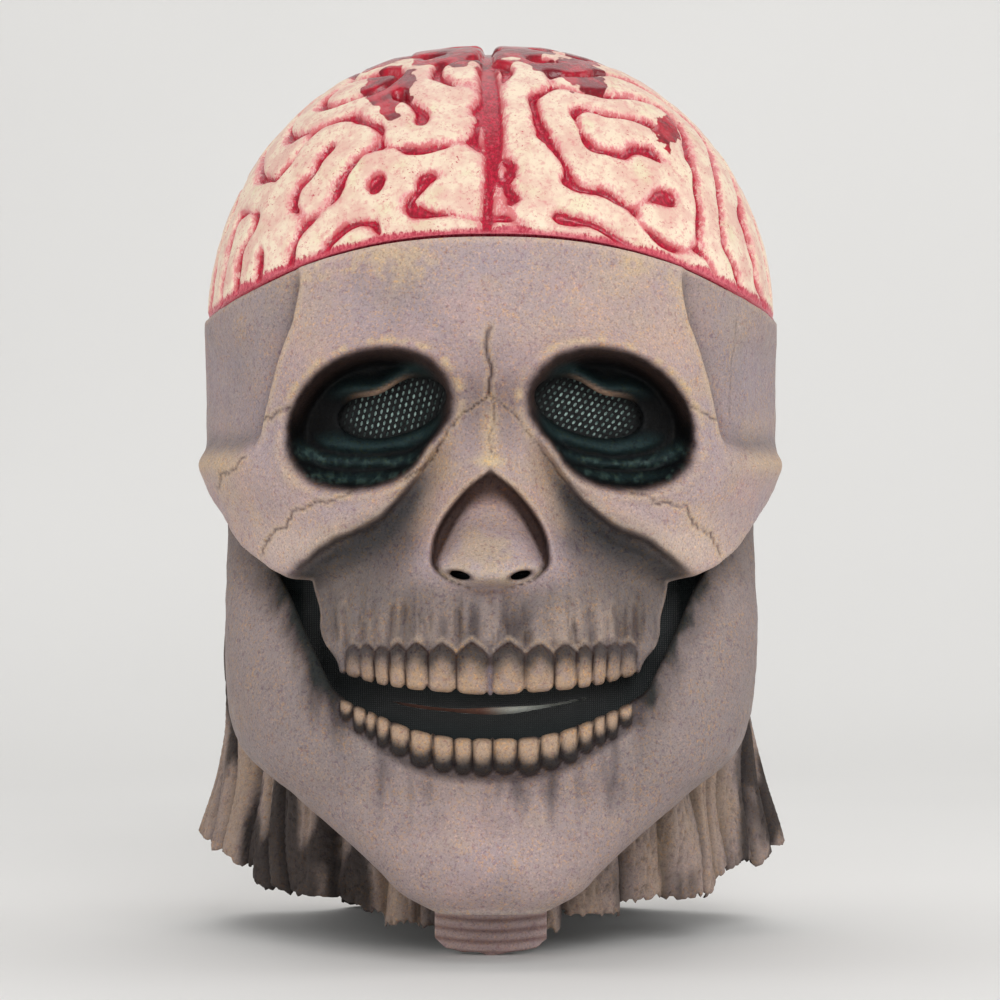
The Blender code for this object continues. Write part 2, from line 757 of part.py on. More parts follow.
def build_eye_mesh(word, side, finish):
    turn = side * math.atan(SOCKET_FLOOR_SLOPE)
    half = [size + MESH_MARGIN for size in EYE_HOLE_HALF]
    obj = cylinder(f"eye_mesh_{word}", 1.0, 0, MESH_THICKNESS, finish, axis="Y", steps=32)
    obj.data.transform(Matrix.Diagonal((half[0], 1, half[1], 1)))
    obj.matrix_world = (
        Matrix.Translation((side * EYE_HOLE[0], SOCKET_FLOOR_Y + MESH_BEHIND, EYE_HOLE[1]))
        @ Matrix.Rotation(turn, 4, "Z")
        @ Matrix.Rotation(side * EYE_HOLE_TILT, 4, "Y")
    )
    return obj


def curved_panel(name, panel, finish, columns=11):
    """A sheet or pad standing behind the face; its sides curve back by bulge."""
    half_width, low, high, front_y, bulge, thickness = panel
    x = np.linspace(-half_width, half_width, columns)
    z = np.linspace(low, high, 3)[:, None] + 0 * x
    y = front_y + bulge * (x / half_width) ** 2 + 0 * z
    outer = np.stack([x + 0 * z, y, z], axis=-1)
    return sheet_body(name, outer, outer + (0, thickness, 0), finish)


def ribbon(name, path, z_low, z_high, thickness, finish):
    """A strap standing on edge along a path seen from above."""
    path = np.array(path)
    along = np.gradient(path, axis=0)
    along /= np.linalg.norm(along, axis=1, keepdims=True)
    out = np.stack([along[:, 1], -along[:, 0]], axis=1)
    rows = np.array([z_low, z_high])

    def wall(offset):
        line = path + offset * out
        return np.stack([np.column_stack([line, np.full(len(line), z)]) for z in rows])

    return sheet_body(name, wall(thickness / 2), wall(-thickness / 2), finish)


def band_path():
    """The head band: straight behind the head, then round to both side walls."""
    arc = np.radians(np.linspace(0, 90, 10))
    reach = BAND_SIDE[0] - BAND_STRAIGHT
    depth = BAND_BACK_Y - BAND_SIDE[1]
    side = [(BAND_STRAIGHT + reach * math.cos(a), BAND_SIDE[1] + depth * math.sin(a)) for a in arc]
    return side + [(-x, y) for x, y in reversed(side)]


def build_strap_anchor(word, side, finish):
    inner_x = BAND_SIDE[0] + ANCHOR_GAP
    xs = sorted((side * inner_x, side * (inner_x + ANCHOR_THICKNESS)))
    low = (xs[0], ANCHOR_Y[0], BAND_Z - ANCHOR_HALF)
    high = (xs[1], ANCHOR_Y[1], BAND_Z + ANCHOR_HALF)
    return box(f"strap_anchor_{word}", low, high, finish)


def build_strap_slider(finish):
    half = [size / 2 for size in SLIDER_SIZE]
    centre = (0.0, BAND_BACK_Y, BAND_Z)
    low = [mid - size for mid, size in zip(centre, half)]
    high = [mid + size for mid, size in zip(centre, half)]
    slider = box("strap_slider", low, high, finish)
    past = BAND_THICKNESS
    slot_low = (low[0] - past, BAND_BACK_Y - SLIDER_SLOT[0] / 2, BAND_Z - SLIDER_SLOT[1] / 2)
    slot_high = (high[0] + past, BAND_BACK_Y + SLIDER_SLOT[0] / 2, BAND_Z + SLIDER_SLOT[1] / 2)
    combine(slider, box("slider_slot_cutter", slot_low, slot_high, None), "DIFFERENCE")
    reach_x, reach_z = SLIDER_WINDOW[0] / 2, SLIDER_WINDOW[1] / 2
    for number, offset in enumerate((-SLIDER_WINDOW_X, SLIDER_WINDOW_X)):
        window_low = (offset - reach_x, low[1] - past, BAND_Z - reach_z)
        window_high = (offset + reach_x, BAND_BACK_Y - SLIDER_BRIDGE, BAND_Z + reach_z)
        cutter = box(f"slider_window_cutter_{number}", window_low, window_high, None)
        combine(slider, cutter, "DIFFERENCE")
    return slider


def hinge_cylinder(name, side, radius, near_x, far_x, finish):
    low, high = sorted((side * near_x, side * far_x))
    return cylinder(name, radius, low, high, finish, (0, HINGE_Y, HINGE_Z), axis="X")


def build_hinge(word, side, plastic, steel):
    """Plate and boss, rivet and push-on cap of one side of the jaw hinge."""
    hole = RIVET_RADIUS + RIVET_CLEARANCE
    plate = hinge_cylinder(
        f"hinge_plate_{word}", side, HINGE_PLATE_RADIUS, HINGE_PLATE_X[0], HINGE_PLATE_X[1], plastic
    )
    boss = hinge_cylinder(f"boss_{word}", side, BOSS_RADIUS, BOSS_X, HINGE_PLATE_X[0] + 0.001, None)
    combine(plate, boss, "UNION")
    bore = hinge_cylinder(f"plate_bore_{word}", side, hole, *BORE_CUTTER_X, None)
    combine(plate, bore, "DIFFERENCE")
    rivet = hinge_cylinder(
        f"hinge_rivet_{word}", side, RIVET_RADIUS, RIVET_END_X, RIVET_HEAD_X[0] + 0.0005, steel
    )
    head = hinge_cylinder(
        f"rivet_head_{word}", side, RIVET_HEAD_RADIUS, RIVET_HEAD_X[0], RIVET_HEAD_X[1], None
    )
    combine(rivet, head, "UNION")
    cap = hinge_cylinder(f"hinge_cap_{word}", side, CAP_RADIUS, CAP_X[0], CAP_X[1], plastic)
    cap_bore = hinge_cylinder(f"cap_bore_{word}", side, hole, *BORE_CUTTER_X, None)
    combine(cap, cap_bore, "DIFFERENCE")
    return plate, rivet, cap


def build_ramus_plate(word, side, finish):
    """The stiff ear inside the jaw's side, with the hole it turns on."""
    arc = np.radians(np.linspace(-50, 160, 12))
    outline = [
        (HINGE_Y + RAMUS_EYE_RADIUS * math.cos(a), HINGE_Z + RAMUS_EYE_RADIUS * math.sin(a))
        for a in arc
    ]
    outline += RAMUS_OUTLINE
    mesh = bpy.data.meshes.new(f"ramus_plate_{word}")
    build = bmesh.new()
    near = [build.verts.new((side * RAMUS_X[0], y, z)) for y, z in outline]
    face = build.faces.new(near)
    pushed = bmesh.ops.extrude_face_region(build, geom=[face])
    moved = [item for item in pushed["geom"] if isinstance(item, bmesh.types.BMVert)]
    bmesh.ops.translate(build, verts=moved, vec=(side * (RAMUS_X[1] - RAMUS_X[0]), 0, 0))
    bmesh.ops.recalc_face_normals(build, faces=build.faces)
    build.to_mesh(mesh)
    build.free()
    mesh.materials.append(finish)
    plate = bpy.data.objects.new(f"ramus_plate_{word}", mesh)
    bpy.context.scene.collection.objects.link(plate)
    bore = hinge_cylinder(
        f"ramus_bore_{word}", side, RIVET_RADIUS + 2 * RIVET_CLEARANCE, *BORE_CUTTER_X, None
    )
    combine(plate, bore, "DIFFERENCE")
    return plate


def build_jaw_elastic(word, side, finish):
    """A flat elastic from the skull's side wall down to the jaw's side."""
    sheet = []
    for x, z in ELASTIC_LINE:
        middle_y = ELASTIC_TOP_Y + ELASTIC_LEAN * (ELASTIC_LINE[0][1] - z)
        sheet.append([(side * x, middle_y + half, z) for half in (-ELASTIC_HALF, ELASTIC_HALF)])
    outer = np.array(sheet[::-1])
    if side < 0:
        outer = outer[:, ::-1]
    inner = outer - (side * ELASTIC_THICKNESS, 0, 0)
    return sheet_body(f"jaw_elastic_{word}", outer, inner, finish)


def build_pads(foam):
    """Foam pads that fit the mask to the head, with rounded edges."""
    pads = [
        curved_panel("forehead_pad", FOREHEAD_PAD, foam),
        curved_panel("back_pad", BACK_PAD, foam, NARROW_PANEL_COLUMNS),
    ]
    middle = (0, SKULL_CENTRE_Y, 0)
    pads.append(cylinder("crown_pad", CROWN_PAD_RADIUS, *CROWN_PAD_Z, foam, middle, steps=28))
    for word, side in (("left", 1), ("right", -1)):
        near, far = sorted(side * x for x in TEMPLE_PAD_X)
        low = (near, TEMPLE_PAD_Y[0], TEMPLE_PAD_Z[0])
        high = (far, TEMPLE_PAD_Y[1], TEMPLE_PAD_Z[1])
        pads.append(box(f"temple_pad_{word}", low, high, foam))
    for pad in pads:
        edge = pad.modifiers.new("rounded_edges", "BEVEL")
        edge.width = PAD_EDGE
        edge.segments = 1
        edge.limit_method = "ANGLE"
        edge.angle_limit = PAD_EDGE_ANGLE
    return pads


def build_chin_cup(foam):
    return curved_panel("chin_cup", CHIN_CUP, foam, NARROW_PANEL_COLUMNS)


def hang_on_jaw(pieces):
    """Gives the jaw's pieces an empty on the hinge axis as their parent."""
    pivot = bpy.data.objects.new("jaw_pivot", None)
    pivot.location = (0, HINGE_Y, HINGE_Z)
    bpy.context.scene.collection.objects.link(pivot)
    bpy.context.view_layer.update()
    for piece in pieces:
        piece.parent = pivot
        piece.matrix_parent_inverse = pivot.matrix_world.inverted()


def build_mask():
    skull_latex = material("skull_latex", (0.36, 0.29, 0.28), 0.62)
    brain_latex = material("brain_latex", (0.78, 0.45, 0.38), 0.45)
    jaw_latex = material("jaw_latex", (0.36, 0.29, 0.27), 0.62)
    neck_latex = material("neck_latex", (0.33, 0.26, 0.24), 0.66)
    eye_fabric = material("eye_fabric", (0.02, 0.03, 0.03), 0.8)
    liner_fabric = material("liner_fabric", (0.015, 0.015, 0.017), 0.85)
    foam = material("foam", (0.10, 0.10, 0.11), 0.9)
    elastic = material("elastic", (0.03, 0.03, 0.03), 0.8)
    plastic = material("plastic", (0.04, 0.04, 0.045), 0.45)
    steel = material("steel", (0.55, 0.55, 0.56), 0.3, 1.0)

    build_skull_shell(skull_latex)
    build_brain_cap(brain_latex)
    build_neck_drape(neck_latex)
    build_throat_panel(neck_latex)
    curved_panel("mouth_liner_upper", UPPER_LINER, liner_fabric)
    build_pads(foam)
    ribbon(
        "head_strap",
        band_path(),
        BAND_Z - BAND_HEIGHT / 2,
        BAND_Z + BAND_HEIGHT / 2,
        BAND_THICKNESS,
        elastic,
    )
    build_strap_slider(plastic)

    jaw_pieces = [
        build_jaw_shell(jaw_latex),
        build_chin_cup(foam),
        curved_panel("mouth_liner_lower", LOWER_LINER, liner_fabric),
    ]
    for word, side in (("left", 1), ("right", -1)):
        build_eye_mesh(word, side, eye_fabric)
        build_hinge(word, side, plastic, steel)
        build_strap_anchor(word, side, plastic)
        build_jaw_elastic(word, side, elastic)
        jaw_pieces.append(build_ramus_plate(word, side, plastic))
    hang_on_jaw(jaw_pieces)


clear_scene()
build_mask()
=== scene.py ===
import math

import bmesh
import bpy
import numpy as np
from mathutils import Matrix, Vector


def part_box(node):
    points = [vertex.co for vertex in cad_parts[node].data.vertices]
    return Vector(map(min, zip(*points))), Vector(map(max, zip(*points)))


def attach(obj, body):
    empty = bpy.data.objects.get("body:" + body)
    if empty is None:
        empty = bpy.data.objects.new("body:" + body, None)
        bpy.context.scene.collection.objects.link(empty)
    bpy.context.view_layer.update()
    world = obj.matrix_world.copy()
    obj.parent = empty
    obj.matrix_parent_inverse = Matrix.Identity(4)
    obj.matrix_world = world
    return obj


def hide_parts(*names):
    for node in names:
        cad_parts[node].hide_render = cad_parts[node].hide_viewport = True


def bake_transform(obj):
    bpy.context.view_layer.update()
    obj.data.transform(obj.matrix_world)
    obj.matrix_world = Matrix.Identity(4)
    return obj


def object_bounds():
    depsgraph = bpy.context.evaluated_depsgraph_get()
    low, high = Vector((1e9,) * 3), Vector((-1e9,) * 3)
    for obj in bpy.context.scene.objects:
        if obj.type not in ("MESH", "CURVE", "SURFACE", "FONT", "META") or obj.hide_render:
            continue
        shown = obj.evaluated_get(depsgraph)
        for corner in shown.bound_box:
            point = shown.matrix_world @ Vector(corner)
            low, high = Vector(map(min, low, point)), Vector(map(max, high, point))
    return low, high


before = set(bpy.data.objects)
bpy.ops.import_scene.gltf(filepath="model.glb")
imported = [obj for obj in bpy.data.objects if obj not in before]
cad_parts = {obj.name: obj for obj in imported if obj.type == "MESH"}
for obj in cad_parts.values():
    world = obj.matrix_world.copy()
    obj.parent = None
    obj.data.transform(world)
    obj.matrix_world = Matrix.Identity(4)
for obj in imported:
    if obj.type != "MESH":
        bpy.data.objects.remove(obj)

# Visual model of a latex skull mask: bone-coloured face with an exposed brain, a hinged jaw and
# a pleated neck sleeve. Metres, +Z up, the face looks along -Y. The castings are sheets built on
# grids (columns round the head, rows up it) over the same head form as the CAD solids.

CAD_LOW, CAD_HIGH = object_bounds()

# The casting's driving dimensions, as in the CAD
LATEX = 0.0028
GAP = 0.0004
SKULL_CENTRE_Y = 0.012
SKULL_FRONT_POWER = 2.35
SKULL_BACK_POWER = 2.1
LEAST_FACING = 0.42
SKULL_BOTTOM = 0.094
RIM_SIDE_Z = 0.232
RIM_FRONT_RISE = 0.027
RIM_BACK_DROP = 0.006
RIM_RADIUS = 0.105
RIM_LIP = 0.011

# height, half width, front y, back y
SKULL_SECTIONS = (
    (0.090, 0.0930, -0.1040, 0.0950),
    (0.110, 0.0960, -0.1060, 0.0995),
    (0.135, 0.1010, -0.1050, 0.1040),
    (0.160, 0.1055, -0.1045, 0.1090),
    (0.185, 0.1080, -0.1050, 0.1120),
    (0.210, 0.1087, -0.1075, 0.1133),
    (0.235, 0.1090, -0.1060, 0.1133),
    (0.262, 0.1070, -0.0985, 0.1115),
)
DOME_BASE_Z = 0.231
DOME_TOP_Z = CAD_HIGH.z
DOME_POWER = 2.2
SKIRT_DEPTH = 0.009

# Places on the face: distance from the middle and height
SOCKET = (0.043, 0.1945)
SOCKET_HALF = (0.0295, 0.0225)
SOCKET_TILT = math.radians(25)
SOCKET_FLOOR_Y = -0.083
SOCKET_FLOOR_SLOPE = 0.30
EYE_HOLE = (0.035, 0.199)
EYE_HOLE_HALF = (0.0200, 0.0100)
EYE_HOLE_TILT = math.radians(15)
MESH_BEHIND = 0.0070
# height, half width of the hollow round the nose
NOSE_WIDTHS = (
    (0.134, 0.0040), (0.137, 0.0135), (0.141, 0.0192), (0.149, 0.0206), (0.157, 0.0182),
    (0.165, 0.0128), (0.171, 0.0072), (0.176, 0.0006),
)
NOSTRIL = (0.0106, 0.1397)
NOSTRIL_HALF = (0.0037, 0.0014)
NOSTRIL_TILT = math.radians(-14)
# distance from the middle, height of the upper teeth's biting edge
TEETH_EDGE = (
    (0.000, 0.0975), (0.017, 0.0986), (0.030, 0.0995), (0.045, 0.1020), (0.056, 0.1060),
    (0.064, 0.1140),
)
# height, half width of the upper jaw
MAXILLA_HALF_WIDTHS = (
    (0.096, 0.0505), (0.102, 0.0525), (0.108, 0.0550), (0.114, 0.0590), (0.128, 0.0622),
    (0.142, 0.0650),
)
# angle in degrees from the front, height of the skull's lower edge
SKULL_EDGE = (
    (0, 0.134), (35, 0.1365), (43, 0.1385), (51, 0.143), (60, 0.150), (68, 0.160), (78, 0.1695),
    (90, 0.1715), (100, 0.166), (116, 0.151), (140, 0.136), (180, 0.128),
)
# distance from the middle, height of the ridge from the nose root to the cheekbone
CHEEK_RIDGE = (
    (0.000, 0.2030), (0.010, 0.1960), (0.020, 0.1840), (0.028, 0.1720), (0.035, 0.1640),
    (0.043, 0.1580), (0.055, 0.1520), (0.070, 0.1420), (0.100, 0.1300),
)
# height, distance of the temple line from the middle
TEMPLE_LINE = (
    (0.186, 0.0840), (0.198, 0.0825), (0.208, 0.0800), (0.219, 0.0765), (0.230, 0.0722),
    (0.244, 0.0695), (0.260, 0.0690),
)
# centre and width of each upper tooth of one side
UPPER_TEETH = (
    (0.0063, 0.0116), (0.0172, 0.0102), (0.0263, 0.0080), (0.0331, 0.0056), (0.0384, 0.0050),
    (0.0436, 0.0054), (0.0490, 0.0056),
)
UPPER_TOOTH_TOP = 0.1157
# centre and width of each lower tooth
LOWER_TEETH = (
    (-0.0510, 0.0047), (-0.0462, 0.0045), (-0.0422, 0.0038), (-0.0378, 0.0046), (-0.0318, 0.0070),
    (-0.0243, 0.0078), (-0.0165, 0.0074), (-0.0095, 0.0064), (-0.0027, 0.0070), (0.0052, 0.0084),
    (0.0135, 0.0078), (0.0210, 0.0070), (0.0277, 0.0064), (0.0337, 0.0053), (0.0386, 0.0043),
    (0.0430, 0.0044), (0.0479, 0.0050),
)
# distance from the middle, height of the lower teeth's biting edge and gum line
LOWER_TEETH_EDGE = (
    (0.0, 0.0828), (0.015, 0.0835), (0.028, 0.0862), (0.040, 0.0908), (0.052, 0.0958),
)
LOWER_GUM_LINE = (
    (0.0, 0.0690), (0.015, 0.0700), (0.028, 0.0735), (0.040, 0.0800), (0.052, 0.0880),
)

# height, half width, y of the widest place, front y, y of the rear edge
JAW_SECTIONS = (
    (0.0200, 0.0190, -0.0960, -0.1035, -0.0940),
    (0.0255, 0.0305, -0.0915, -0.1072, -0.0890),
    (0.0335, 0.0395, -0.0850, -0.1095, -0.0812),
    (0.0430, 0.0508, -0.0755, -0.1092, -0.0705),
    (0.0525, 0.0635, -0.0645, -0.1078, -0.0585),
    (0.0610, 0.0752, -0.0540, -0.1062, -0.0470),
    (0.0670, 0.0838, -0.0465, -0.1060, -0.0392),
    (0.0735, 0.0905, -0.0395, -0.1060, -0.0318),
    (0.0840, 0.0955, -0.0335, -0.1045, -0.0252),
    (0.0970, 0.0978, -0.0300, -0.1012, -0.0210),
    (0.1200, 0.0985, -0.0300, -0.0880, -0.0170),
    (0.1350, 0.0982, -0.0285, -0.0755, -0.0145),
    (0.1500, 0.0976, -0.0260, -0.0620, -0.0120),
    (0.1720, 0.0972, -0.0230, -0.0550, -0.0080),
)
JAW_BOTTOM = 0.0200
JAW_TOP = 0.1700
JAW_BEND = 0.80
# distance from the middle, height of the jaw's upper edge
JAW_EDGE = (
    (0.000, 0.0828), (0.020, 0.0842), (0.035, 0.0885), (0.045, 0.0928), (0.051, 0.0955),
    (0.056, 0.0990), (0.0605, 0.1060), (0.0655, 0.1160), (0.0705, 0.1262), (0.0760, 0.1370),
    (0.0840, 0.1510), (0.0915, 0.1620), (0.0960, 0.1720),
)

# height, half width, front y, back y of the neck sleeve
DRAPE_SECTIONS = (
    (0.000, 0.1160, -0.0470, 0.1110),
    (0.030, 0.1120, -0.0460, 0.1080),
    (0.060, 0.1030, -0.0440, 0.1020),
    (0.086, 0.1000, -0.0420, 0.0980),
    (0.113, 0.1025, -0.0400, 0.0970),
    (0.135, 0.1005, -0.0390, 0.0990),
    (0.150, 0.0980, -0.0380, 0.1010),
    (0.168, 0.0970, -0.0380, 0.1030),
)
DRAPE_CENTRE_Y = 0.045
DRAPE_FRONT_POWER = 1.85
DRAPE_TUCK = 0.0052
DRAPE_SPREAD = 0.60
# angle in degrees from the front, height of the sleeve's hem and of its top edge
DRAPE_HEM = (
    (0, 0.008), (25, 0.007), (35, 0.012), (50, 0.017), (65, 0.022), (90, 0.029), (110, 0.026),
    (130, 0.014), (150, 0.000), (180, 0.000),
)
DRAPE_TOP = (
    (0, 0.050), (25, 0.062), (38, 0.092), (48, 0.140), (57, 0.162), (75, 0.166), (95, 0.163),
    (130, 0.150), (180, 0.142),
)


def srgb(red, green, blue):
    """Linear colour of a screen colour given in 0-255 steps."""
    value = np.array((red, green, blue)) / 255
    return np.where(value <= 0.04045, value / 12.92, ((value + 0.055) / 1.055) ** 2.4)


BONE = srgb(173, 153, 151)
OCHRE = srgb(204, 178, 142)
LAVENDER = srgb(160, 147, 158)
ROSE = srgb(186, 156, 154)
GREY = srgb(126, 116, 118)
SHADE = srgb(74, 66, 68)
SLATE = srgb(66, 74, 76)
UMBER = srgb(58, 40, 35)
SOCKET_BLACK = srgb(14, 16, 18)
TEAL = srgb(40, 60, 62)
TOOTH = srgb(172, 146, 124)
TOOTH_GREY = srgb(70, 63, 61)
TOOTH_LINE = srgb(50, 34, 30)
INSIDE_LATEX = srgb(58, 52, 50)


# Numbers


def curve_through(knots, at):
    """A smooth curve through (place, value) knots, read at the given places."""
    places, values = np.array(knots, float).T
    slopes = np.gradient(values, places)
    at = np.clip(at, places[0], places[-1])
    left = np.clip(np.searchsorted(places, at) - 1, 0, len(places) - 2)
    span = places[left + 1] - places[left]
    t = (at - places[left]) / span
    keep = (1 + 2 * t) * (1 - t) ** 2
    rise = t * (1 - t) ** 2 * span
    fall = t**2 * (t - 1) * span
    return (
        keep * values[left]
        + (1 - keep) * values[left + 1]
        + rise * slopes[left]
        + fall * slopes[left + 1]
    )


def section(sections, number, z):
    """One column of a table of sections, read at the given heights."""
    return curve_through([(row[0], row[number]) for row in sections], z)


def smoothstep(start, end, value):
    t = np.clip((value - start) / (end - start), 0, 1)
    return t * t * (3 - 2 * t)


def window(value, low, full, fall, high):
    """Rises from low to full and falls again from fall to high."""
    return smoothstep(low, full, value) * smoothstep(high, fall, value)


def hump(value, centre, width):
    return np.exp(-(((value - centre) / width) ** 2))


def blended(first, second, share):
    """The first colours or points where share is 0, and the second where it is 1."""
    share = share[..., None]
    return first * (1 - share) + second * share


def coarser():
    return 1.0


def signed_power(value, power):
    return np.sign(value) * np.abs(value) ** power


def lattice_noise(points, size, seed):
    """Smooth noise between 0 and 1 at 3-D points, with features about this size."""
    table = np.random.default_rng(seed).random((32, 32, 32))
    place = points / size
    cell = np.floor(place).astype(int)
    part = place - cell
    part = part * part * (3 - 2 * part)
    total = 0
    for dx in (0, 1):
        for dy in (0, 1):
            for dz in (0, 1):
                near = (cell + (dx, dy, dz)) % 32
                corner = table[near[..., 0], near[..., 1], near[..., 2]]
                weight = np.abs(1 - dx - part[..., 0]) * np.abs(1 - dy - part[..., 1])
                total = total + corner * weight * np.abs(1 - dz - part[..., 2])
    return total


def layered_noise(points, size, seed):
    coarse = lattice_noise(points, size, seed)
    middle = lattice_noise(points, size / 2.1, seed + 1)
    fine = lattice_noise(points, size / 4.3, seed + 2)
    return (coarse + 0.5 * middle + 0.25 * fine) / 1.75


def line_distance(x, z, line):
    """Distance from each point to a broken line, both in the front view."""
    nearest = np.full(np.shape(x), 1.0)
    low = np.min(line, axis=0) - 0.006
    high = np.max(line, axis=0) + 0.006
    near = (x > low[0]) & (x < high[0]) & (z > low[1]) & (z < high[1])
    place = np.stack([x[near], z[near]], axis=-1)
    found = np.full(len(place), 1.0)
    for start, end in zip(line[:-1], line[1:]):
        along = end - start
        t = np.clip((place - start) @ along / (along @ along), 0, 1)
        found = np.minimum(found, np.linalg.norm(place - start - t[:, None] * along, axis=1))
    nearest[near] = found
    return nearest


def jagged(points, seed, wander, steps=6):
    """A crack's line: straight runs between points, broken into uneven steps."""
    rng = np.random.default_rng(seed)
    points = np.array(points)
    places = np.linspace(0, len(points) - 1, steps * (len(points) - 1) + 1)
    line = np.stack([np.interp(places, range(len(points)), points[:, n]) for n in (0, 1)], axis=-1)
    line[1:-1] += rng.uniform(-wander, wander, line[1:-1].shape)
    return line


# Forms of the head


def rim_height(angle):
    forward = np.clip(np.cos(angle), 0, 1)
    backward = np.clip(-np.cos(angle), 0, 1)
    return RIM_SIDE_Z + RIM_FRONT_RISE * forward**2.2 - RIM_BACK_DROP * backward**2


def oval(angle, z, sections, centre_y, front_power, back_power, fold=0):
    """Points round a table of sections, each rounded by one power in front and one behind."""
    half_width = section(sections, 1, z)
    front = centre_y - section(sections, 2, z)
    back = section(sections, 3, z) - centre_y
    forward = np.cos(angle) > 0
    power = np.where(forward, 2 / front_power, 2 / back_power)
    depth = np.where(forward, front, back)
    x = (half_width + fold) * signed_power(np.sin(angle), power)
    y = centre_y - (depth + fold) * signed_power(np.cos(angle), power)
    return x, y


def skull_base(angle, z):
    """The plain head form, before the face is sculpted into it."""
    return oval(angle, z, SKULL_SECTIONS, SKULL_CENTRE_Y, SKULL_FRONT_POWER, SKULL_BACK_POWER)


def sleeve_base(angle, z, fold=0):
    """The neck sleeve's form, pushed out by its folds."""
    x, y = oval(angle, z, DRAPE_SECTIONS, DRAPE_CENTRE_Y, DRAPE_FRONT_POWER, 2, fold)
    return tucked_into_skull(x, y, z)


def skull_outward(angle, z):
    step = 0.01
    ahead = skull_base(angle + step, z)
    behind = skull_base(angle - step, z)
    out_x, out_y = ahead[1] - behind[1], behind[0] - ahead[0]
    size = np.hypot(out_x, out_y)
    return out_x / size, out_y / size


def ellipse_distance(x, z, centre, half, tilt):
    """1 on the ellipse's outline; the inner end of the ellipse is tilted up."""
    across = np.abs(x) - centre[0]
    up = z - centre[1]
    along = across * math.cos(tilt) - up * math.sin(tilt)
    over = across * math.sin(tilt) + up * math.cos(tilt)
    return np.sqrt((along / half[0]) ** 2 + (over / half[1]) ** 2)


def eye_hole_distance(x, z):
    """1 on the edge of the opening under the hanging upper lid."""
    droop = 0.0042 * hump(np.abs(x), 0.0405, 0.0085) * smoothstep(0.198, 0.204, z)
    return ellipse_distance(x, z + droop, EYE_HOLE, EYE_HOLE_HALF, EYE_HOLE_TILT)


def socket_floor(x):
    return SOCKET_FLOOR_Y + SOCKET_FLOOR_SLOPE * (np.abs(x) - EYE_HOLE[0])


def dome_girth(z):
    up = np.clip((z - DOME_BASE_Z) / (DOME_TOP_Z - DOME_BASE_Z), 0, 1)
    return (1 - up**2) ** (1 / DOME_POWER)


def dome_surface(angle, rise):
    """Points of the smooth brain: rise is 0 on the skull's rim and 1 at the top."""
    rim = rim_height(angle)
    x, y = skull_base(angle, rim)
    seat = rim + 3 * GAP
    z = seat + (DOME_TOP_Z - seat) * np.sin(rise * math.pi / 2)
    girth = (1 - RIM_LIP) * dome_girth(z) / dome_girth(rim)
    return np.stack([x * girth, SKULL_CENTRE_Y + (y - SKULL_CENTRE_Y) * girth, z], axis=-1)


def jaw_form(across, z):
    """The jaw without teeth: across runs from -1 at one rear edge to 1 at the other."""
    half_width = section(JAW_SECTIONS, 1, z)
    side_y = section(JAW_SECTIONS, 2, z)
    front_y = section(JAW_SECTIONS, 3, z)
    rear_y = section(JAW_SECTIONS, 4, z)
    angle = np.clip(across / JAW_BEND, -1, 1) * math.pi / 2
    x = half_width * signed_power(np.sin(angle), 0.92)
    y = side_y - (side_y - front_y) * np.abs(np.cos(angle)) ** 0.92
    past = smoothstep(JAW_BEND, 1.0, np.abs(across))
    y = y + past * (rear_y - side_y)
    x = x - np.sign(across) * past * 0.0006
    return x, y


def tucked_into_skull(x, y, z):
    """Pulls points that would meet the skull's rear wall to just inside it."""
    inset = LATEX + DRAPE_TUCK
    half_width = section(SKULL_SECTIONS, 1, z) - inset
    back = section(SKULL_SECTIONS, 3, z) - SKULL_CENTRE_Y - inset
    behind = np.maximum(y - SKULL_CENTRE_Y, 0)
    power = SKULL_BACK_POWER
    reach = ((np.abs(x) / half_width) ** power + (behind / back) ** power) ** (1 / power)
    excess = np.maximum(reach / (1 + DRAPE_SPREAD * smoothstep(0.124, 0.108, z)), 1)
    return np.stack([x / excess, SKULL_CENTRE_Y + (y - SKULL_CENTRE_Y) / excess, z], axis=-1)


def grid_normals(points, closed_round):
    if closed_round:
        along = np.roll(points, -1, 1) - np.roll(points, 1, 1)
    else:
        along = np.gradient(points, axis=1)
    normals = np.cross(along, np.gradient(points, axis=0))
    return normals / np.maximum(np.linalg.norm(normals, axis=-1, keepdims=True), 1e-12)


def even_places(form, low, high, spacing_at):
    """Places between low and high whose points on a form lie the asked spacing apart."""
    fine = np.linspace(low, high, 6000)
    x, y = form(fine)
    step = np.hypot(np.diff(x), np.diff(y))
    middle = (fine[1:] + fine[:-1]) / 2
    count = np.concatenate([[0], np.cumsum(step / spacing_at(middle))])
    whole = int(round(count[-1]))
    return np.interp(np.linspace(0, count[-1], whole + 1), count, fine)


# Turning grids into closed sheets


